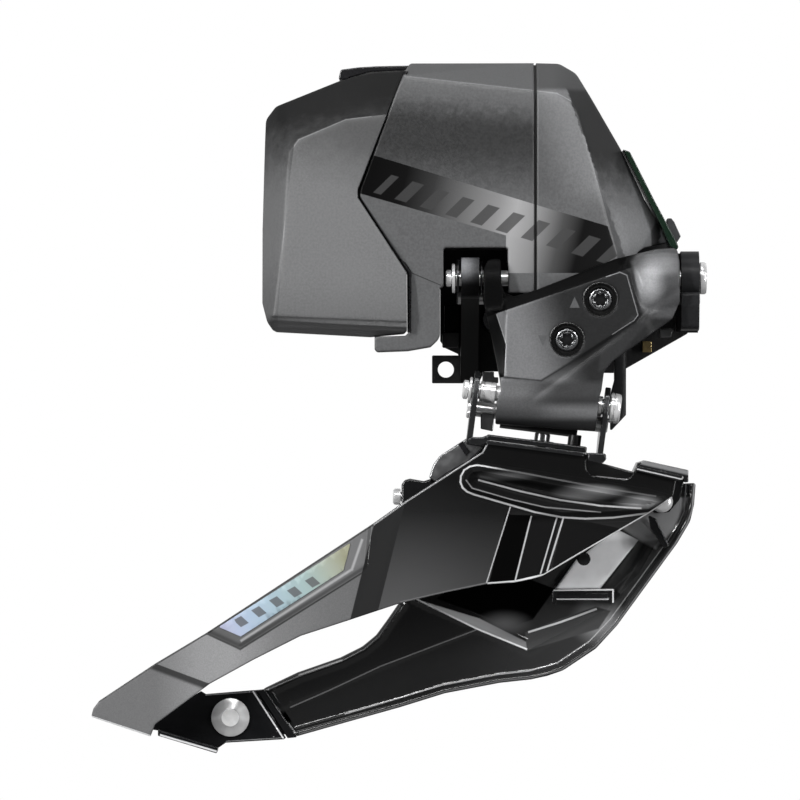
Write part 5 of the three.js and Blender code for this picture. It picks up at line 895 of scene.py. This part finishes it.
# -------------------------------------------------------------- tail bridge
T_OUT = round_poly([(-58, -68.833), (-57.5, -67.333), (-49.5, -62.417), (-48.667, -62.917), (-40.583, -62.25), (-40, -62.833), (-35.25, -70.25), (-35.667, -70.5), (-45.333, -71.083), (-46.667, -72), (-55.833, -69.167)], 0.15)
def tail_h(P):
    y = np.full(len(P), -27.3)
    e = dist_to(P, [(-40.583, -62.25), (-35.25, -70.333)], closed=False)
    y = y - 0.35 * np.exp(-((e - 0.35) / 0.3) ** 2)
    f = dist_to(P, [(-55.833, -69.167), (-46.667, -72), (-45.333, -71.083), (-35.667, -70.5)], closed=False)
    return y - 0.30 * np.exp(-((f - 0.4) / 0.35) ** 2)
relief('tail_bridge_fine', T_OUT, tail_h, lambda P: tail_h(P) + 0.9, M_TAIL, 'cage', ('tail_bridge',), grid=0.7, edge=0.35, rf=0.22, rb=0.15)
extrude('tail_floor', round_poly([(-56.5, -68.583), (-46.5, -71.583), (-46.667, -72.55), (-56.5, -69.583)], 0.2), (-36.2, -26.4), M_TAIL, 'cage', (), bevel=0.22, map3=inY)
extrude('tail_slot', round_poly([(-40.167, -62.333), (-38.833, -62.083), (-33.333, -70.167), (-35, -70.333)], 0.2), (-27.0, -25.4), M_PLATE_IN, 'cage', (), bevel=0.2, map3=inY)
TR = (-44.57, 0, -66.83)
turned('tail_rivet_fine', TR, (0, 1, 0), [(-29.25, 0), (-29.25, 1.5), (-29.12, 1.6), (-28.95, 1.62), (-28.85, 1.75), (-28.3, 2.5), (-27.95, 2.95), (-27.75, 3.18), (-27.42, 3.2), (-27.3, 3.1), (-27.3, 1.2), (-24.9, 1.2), (-24.9, 2.2), (-24.4, 1.9), (-24.3, 0)], M_STEEL, 'cage', ('tail_rivet',), n=96, angle=28)
turned('tail_rivet_face', TR, (0, 1, 0), [(-29.3, 0), (-29.3, 1.38), (-29.24, 1.45), (-29.0, 1.45), (-29.0, 0)], M_RIVET, 'cage', n=64)

# --------------------------------------------------------------- cage yoke
def ear(nm, a0, a1):
    o = [(-38.3, -1.2), (-37.4, 2.0), (-35.2, 3.4), (-32.8, 2.4), (-25.5, -0.4), (-22.4, -1.2), (-21.6, -3.6), (-23.2, -6.0), (-26.6, -7.6), (-26.6, -8.9), (-37.0, -8.9), (-37.6, -6)]
    return extrude(nm, round_poly(o, 0.8), (a0, a1), M_YOKE, 'cage', (), bevel=0.2, map3=inLow)
ear('yoke_ear_rear', -2.75, -1.75); ear('yoke_ear_front', 19.15, 20.1)
extrude('yoke_web', round_poly([(-2.75, -9.1), (20.1, -9.1), (20.1, -7.95), (-2.75, -7.95)], 0.3), (-36.6, -26.3), M_YOKE, 'cage', ('cage_yoke',), bevel=0.25, map3=inLowY)
extrude('yoke_foot_front', round_poly([(15, -22.417), (18.083, -22.583), (18.167, -23.5), (17.583, -24.2), (15.167, -23.833)], 0.35), (-37.9, -36.2), M_YOKE, 'cage', (), bevel=0.25, map3=inY)
extrude('yoke_foot_rear', round_poly([(-4.917, -20.167), (-4.333, -19.833), (-2.5, -19.833), (-1.333, -19.417), (-1.333, -20.667), (-2.833, -21.25), (-4.5, -21.083)], 0.3), (-37.8, -36.0), M_YOKE, 'cage', (), bevel=0.25, map3=inY)
extrude('yoke_inner_bracket', round_poly([(-2.667, -15.917), (-0.417, -15.917), (-0.667, -18.917), (-2.667, -18.5)], 0.2), (-33.0, -26.0), M_GREY, 'cage', (), bevel=0.2, map3=inY)
extrude('cage_strap', round_poly([(-4.9, -20), (-2.167, -21.5), (-4.5, -23.833), (-8.333, -26), (-10.167, -27.333), (-11.333, -26.667), (-10.583, -24.417), (-9.5, -23)], 0.3, radii={7: 1.6, 6: 2.0}), (-31.5, -28.5), M_STRAP, 'cage', (), bevel=0.25, map3=inY)
# painted shade: a thin black plate standing in for the dark gap in the strap
extrude('cage_strap_gap_shade', [(-6.417, -21.083), (-5.667, -20.583), (-4.5, -22.333), (-5.167, -23)], (-31.75, -31.4), M_LATCH, 'cage', (), bevel=0.05, map3=inY)
extrude('cage_rear_lug', round_poly([(-15.917, -31.167), (-15.917, -27.833), (-15.417, -27.083), (-14.5, -26.833), (-12.167, -27.25), (-10.667, -26.75), (-10.667, -31.167)], 0.4, radii={2: 0.8}), (-30.5, -24.0), M_PLATE_IN, 'cage', (), bevel=0.35, map3=inY)
turned('cage_screw_fine', (-15.2, -27.2, -29.85), X3, [(-2.15, 0), (-2.15, 1.0), (-1.95, 1.3), (-1.6, 1.38), (-0.9, 1.35), (-0.85, 0.8), (2.0, 0.8), (2.0, 0)], M_STEEL, 'cage', ('cage_screw',), n=40)

L0 = lo3(0, -35.2, 0)
turned('lower_pin_fine', L0, LOW_DIR, [(-4.42, 0), (-4.42, 1.1), (-4.3, 1.45), (-4.15, 1.6), (-3.6, 1.6), (-3.5, 1.45), (-3.5, 1.3), (20.3, 1.3), (20.3, 2.35), (20.42, 2.5), (20.85, 2.52), (20.9, 2.3), (21.05, 2.3), (21.1, 2.5), (21.6, 2.5), (21.95, 2.3), (22.1, 1.9), (22.1, 0)], M_STEEL, 'cage', ('lower_outer_pin',))
turned('lower_washer_fine', L0, LOW_DIR, [(-3.38, 2.05), (-3.3, 2.2), (-2.98, 2.2), (-2.9, 2.05)], M_STEEL, 'cage', ('lower_pin_washer',), bore=1.4)
turned('lower_roller_fine', L0, LOW_DIR, [(-1.5, 1.6), (-1.4, 1.75), (-0.95, 1.75), (-0.9, 1.68), (-0.75, 1.68), (-0.7, 1.75), (0.3, 1.75), (0.35, 1.7), (0.5, 1.7), (0.55, 1.75), (1.0, 1.75), (1.12, 1.6)], M_STEEL, 'cage', ('lower_pin_roller',), bore=1.4)
turned('lower_collar_fine', L0, LOW_DIR, [(18.3, 1.55), (18.4, 1.72), (18.9, 1.72), (19.0, 1.55)], M_STEEL, 'cage', ('lower_pin_collar',), bore=1.4)
dropA, dropC = -3.0 * -SYW * -1, -3.0 * CYW
turned('lower_inner_fine', lo3(dropA * -1, -24.2, dropC), LOW_DIR, [(-3.6, 0), (-3.6, 1.5), (-3.45, 1.7), (-2.9, 1.7), (-2.9, 1.3), (20.0, 1.3), (20.2, 1.1), (20.2, 0)], M_STEEL, 'cage', ('lower_inner_pin',))
SP = lo3(9.8, -31, -8.4); SD = (SYW, 0, CYW)
turned('stop_screw_fine', SP, SD, [(-1.6, 0), (-1.6, 0.8), (0.6, 0.8), (0.6, 1.95), (0.75, 2.1), (1.4, 2.1), (1.5, 1.95), (1.5, 1.3), (2.6, 1.3), (2.75, 1.15), (2.75, 0)], M_GREY, 'cage', ('cage_stop_screw',), n=40)
turned('stop_post_fine', lo3(15.2, -31, -8.4), SD, [(-1.2, 0), (-1.2, 1.1), (3.1, 1.1), (3.2, 1.0), (3.2, 0)], M_DARKARM, 'cage', ('cage_stop_post',), n=40)
extrude('block_behind_roller', round_poly([(-2.333, -8.917), (-0.383, -8.917), (-0.383, -9.833), (0.333, -9.833), (0.333, -10.833), (-2.333, -10.833)], 0.15), (-24.0, -22.0), M_DARKARM, 'inner_link', (), bevel=0.1, map3=inY)

# --------------------------------------------- remaining frame nodes' finish
FIN = {'mount_washer': M_STEEL, 'mount_bolt': M_SCREW, 'housing_screw_a': M_STEEL, 'housing_screw_b': M_STEEL, 'motor_case': M_GREY, 'circuit_board': M_BOARD, 'battery_contacts': M_BRASS,
       'idler_shaft': M_STEEL, 'latch_pin': M_STEEL, 'latch_spring': M_STEEL, 'housing_gasket': M_GASKET, 'inner_link': M_DARKARM, 'drive_sector_gear': M_GREY, 'idler_gear': M_GREY, 'motor_pinion': M_STEEL,
       'battery_lid': M_BATT, 'battery_cell_a': M_FOIL, 'battery_cell_b': M_FOIL, 'battery_terminals': M_BRASS}
for n, m in FIN.items():
    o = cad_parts[n]; o.data.materials.clear(); o.data.materials.append(m)

# ----------------------------------------------------- studio and the camera
def area(name, loc, look, size, power, color=(1, 1, 1)):
    l = bpy.data.lights.new(name, 'AREA'); l.shape = 'RECTANGLE'; l.size, l.size_y = size; l.energy = power; l.color = color
    o = bpy.data.objects.new(name, l); SC.collection.objects.link(o)
    o.location = Vector(loc); o.rotation_euler = (Vector(look) - Vector(loc)).to_track_quat('-Z', 'Y').to_euler(); return o
CEN = (-0.016, -0.025, -0.014)
area('top_softbox', (-0.05, -0.10, 0.55), CEN, (0.55, 0.12), 0.8)
area('left_softbox', (-0.55, -0.55, 0.16), CEN, (0.07, 0.5), 5.6)
area('right_strip', (0.50, -0.45, 0.10), CEN, (0.035, 0.5), 2.5)
area('low_fill', (-0.10, -0.60, -0.40), CEN, (0.5, 0.05), 2.0)
area('front_top', (-0.02, -0.60, 0.46), CEN, (0.6, 0.05), 2.7)

w = bpy.data.worlds.new('studio'); SC.world = w; w.use_nodes = True; wt = w.node_tree; wt.nodes.clear()
wo = wt.nodes.new('ShaderNodeOutputWorld'); wb = wt.nodes.new('ShaderNodeBackground'); wc = wt.nodes.new('ShaderNodeBackground'); wm = wt.nodes.new('ShaderNodeMixShader'); lp = wt.nodes.new('ShaderNodeLightPath')
tc = wt.nodes.new('ShaderNodeTexCoord'); sx = wt.nodes.new('ShaderNodeSeparateXYZ'); mr = wt.nodes.new('ShaderNodeMapRange'); cm = wt.nodes.new('ShaderNodeMix'); cm.data_type = 'RGBA'
wt.links.new(tc.outputs['Generated'], sx.inputs[0]); wt.links.new(sx.outputs['Y'], mr.inputs['Value'])
mr.inputs['From Min'].default_value = -0.2; mr.inputs['From Max'].default_value = 0.6; mr.inputs['To Min'].default_value = 0; mr.inputs['To Max'].default_value = 1
wt.links.new(mr.outputs[0], cm.inputs[0]); cm.inputs[6].default_value = (0.07, 0.07, 0.071, 1); cm.inputs[7].default_value = (0.55, 0.55, 0.55, 1)
wt.links.new(cm.outputs[2], wb.inputs['Color']); wb.inputs['Strength'].default_value = 1.0
wc.inputs['Color'].default_value = (1, 1, 1, 1); wc.inputs['Strength'].default_value = 1.0
wt.links.new(lp.outputs['Is Camera Ray'], wm.inputs[0]); wt.links.new(wb.outputs[0], wm.inputs[1]); wt.links.new(wc.outputs[0], wm.inputs[2]); wt.links.new(wm.outputs[0], wo.inputs['Surface'])
# pale floor well below the part
fm = bpy.data.materials.new('floor_pale'); fm.use_nodes = True; ft = fm.node_tree; ft.nodes.clear()
fo = ft.nodes.new('ShaderNodeOutputMaterial'); fe = ft.nodes.new('ShaderNodeEmission'); fe2 = ft.nodes.new('ShaderNodeEmission'); fx = ft.nodes.new('ShaderNodeMixShader'); fl_ = ft.nodes.new('ShaderNodeLightPath')
fe.inputs['Color'].default_value = (0.9, 0.9, 0.9, 1); fe.inputs['Strength'].default_value = 0.20; fe2.inputs['Color'].default_value = (1, 1, 1, 1); fe2.inputs['Strength'].default_value = 1.0
ft.links.new(fl_.outputs['Is Camera Ray'], fx.inputs[0]); ft.links.new(fe.outputs[0], fx.inputs[1]); ft.links.new(fe2.outputs[0], fx.inputs[2]); ft.links.new(fx.outputs[0], fo.inputs['Surface'])
me = bpy.data.meshes.new('floor'); S_ = 1.5; me.from_pydata([(-S_, -S_, -0.16), (S_, -S_, -0.16), (S_, S_, -0.16), (-S_, S_, -0.16)], [], [(0, 1, 2, 3)])
flr = bpy.data.objects.new('floor', me); me.materials.append(fm); SC.collection.objects.link(flr)

cam = bpy.data.cameras.new('camera'); cam.lens = 420; cam.sensor_width = 36; cam.clip_start = 0.05; cam.clip_end = 20
co = bpy.data.objects.new('camera', cam); SC.collection.objects.link(co); SC.camera = co
dist = 0.13333 * 420 / 36
co.location = (-0.016167, -0.035 - dist, -0.013667); co.rotation_euler = (math.radians(90), 0, 0)
SC.view_settings.view_transform = 'Standard'; SC.view_settings.look = 'None'; SC.view_settings.exposure = 0.0; SC.view_settings.gamma = 1.0

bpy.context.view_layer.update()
def plain(b): return [[float(v) for v in p] for p in b]
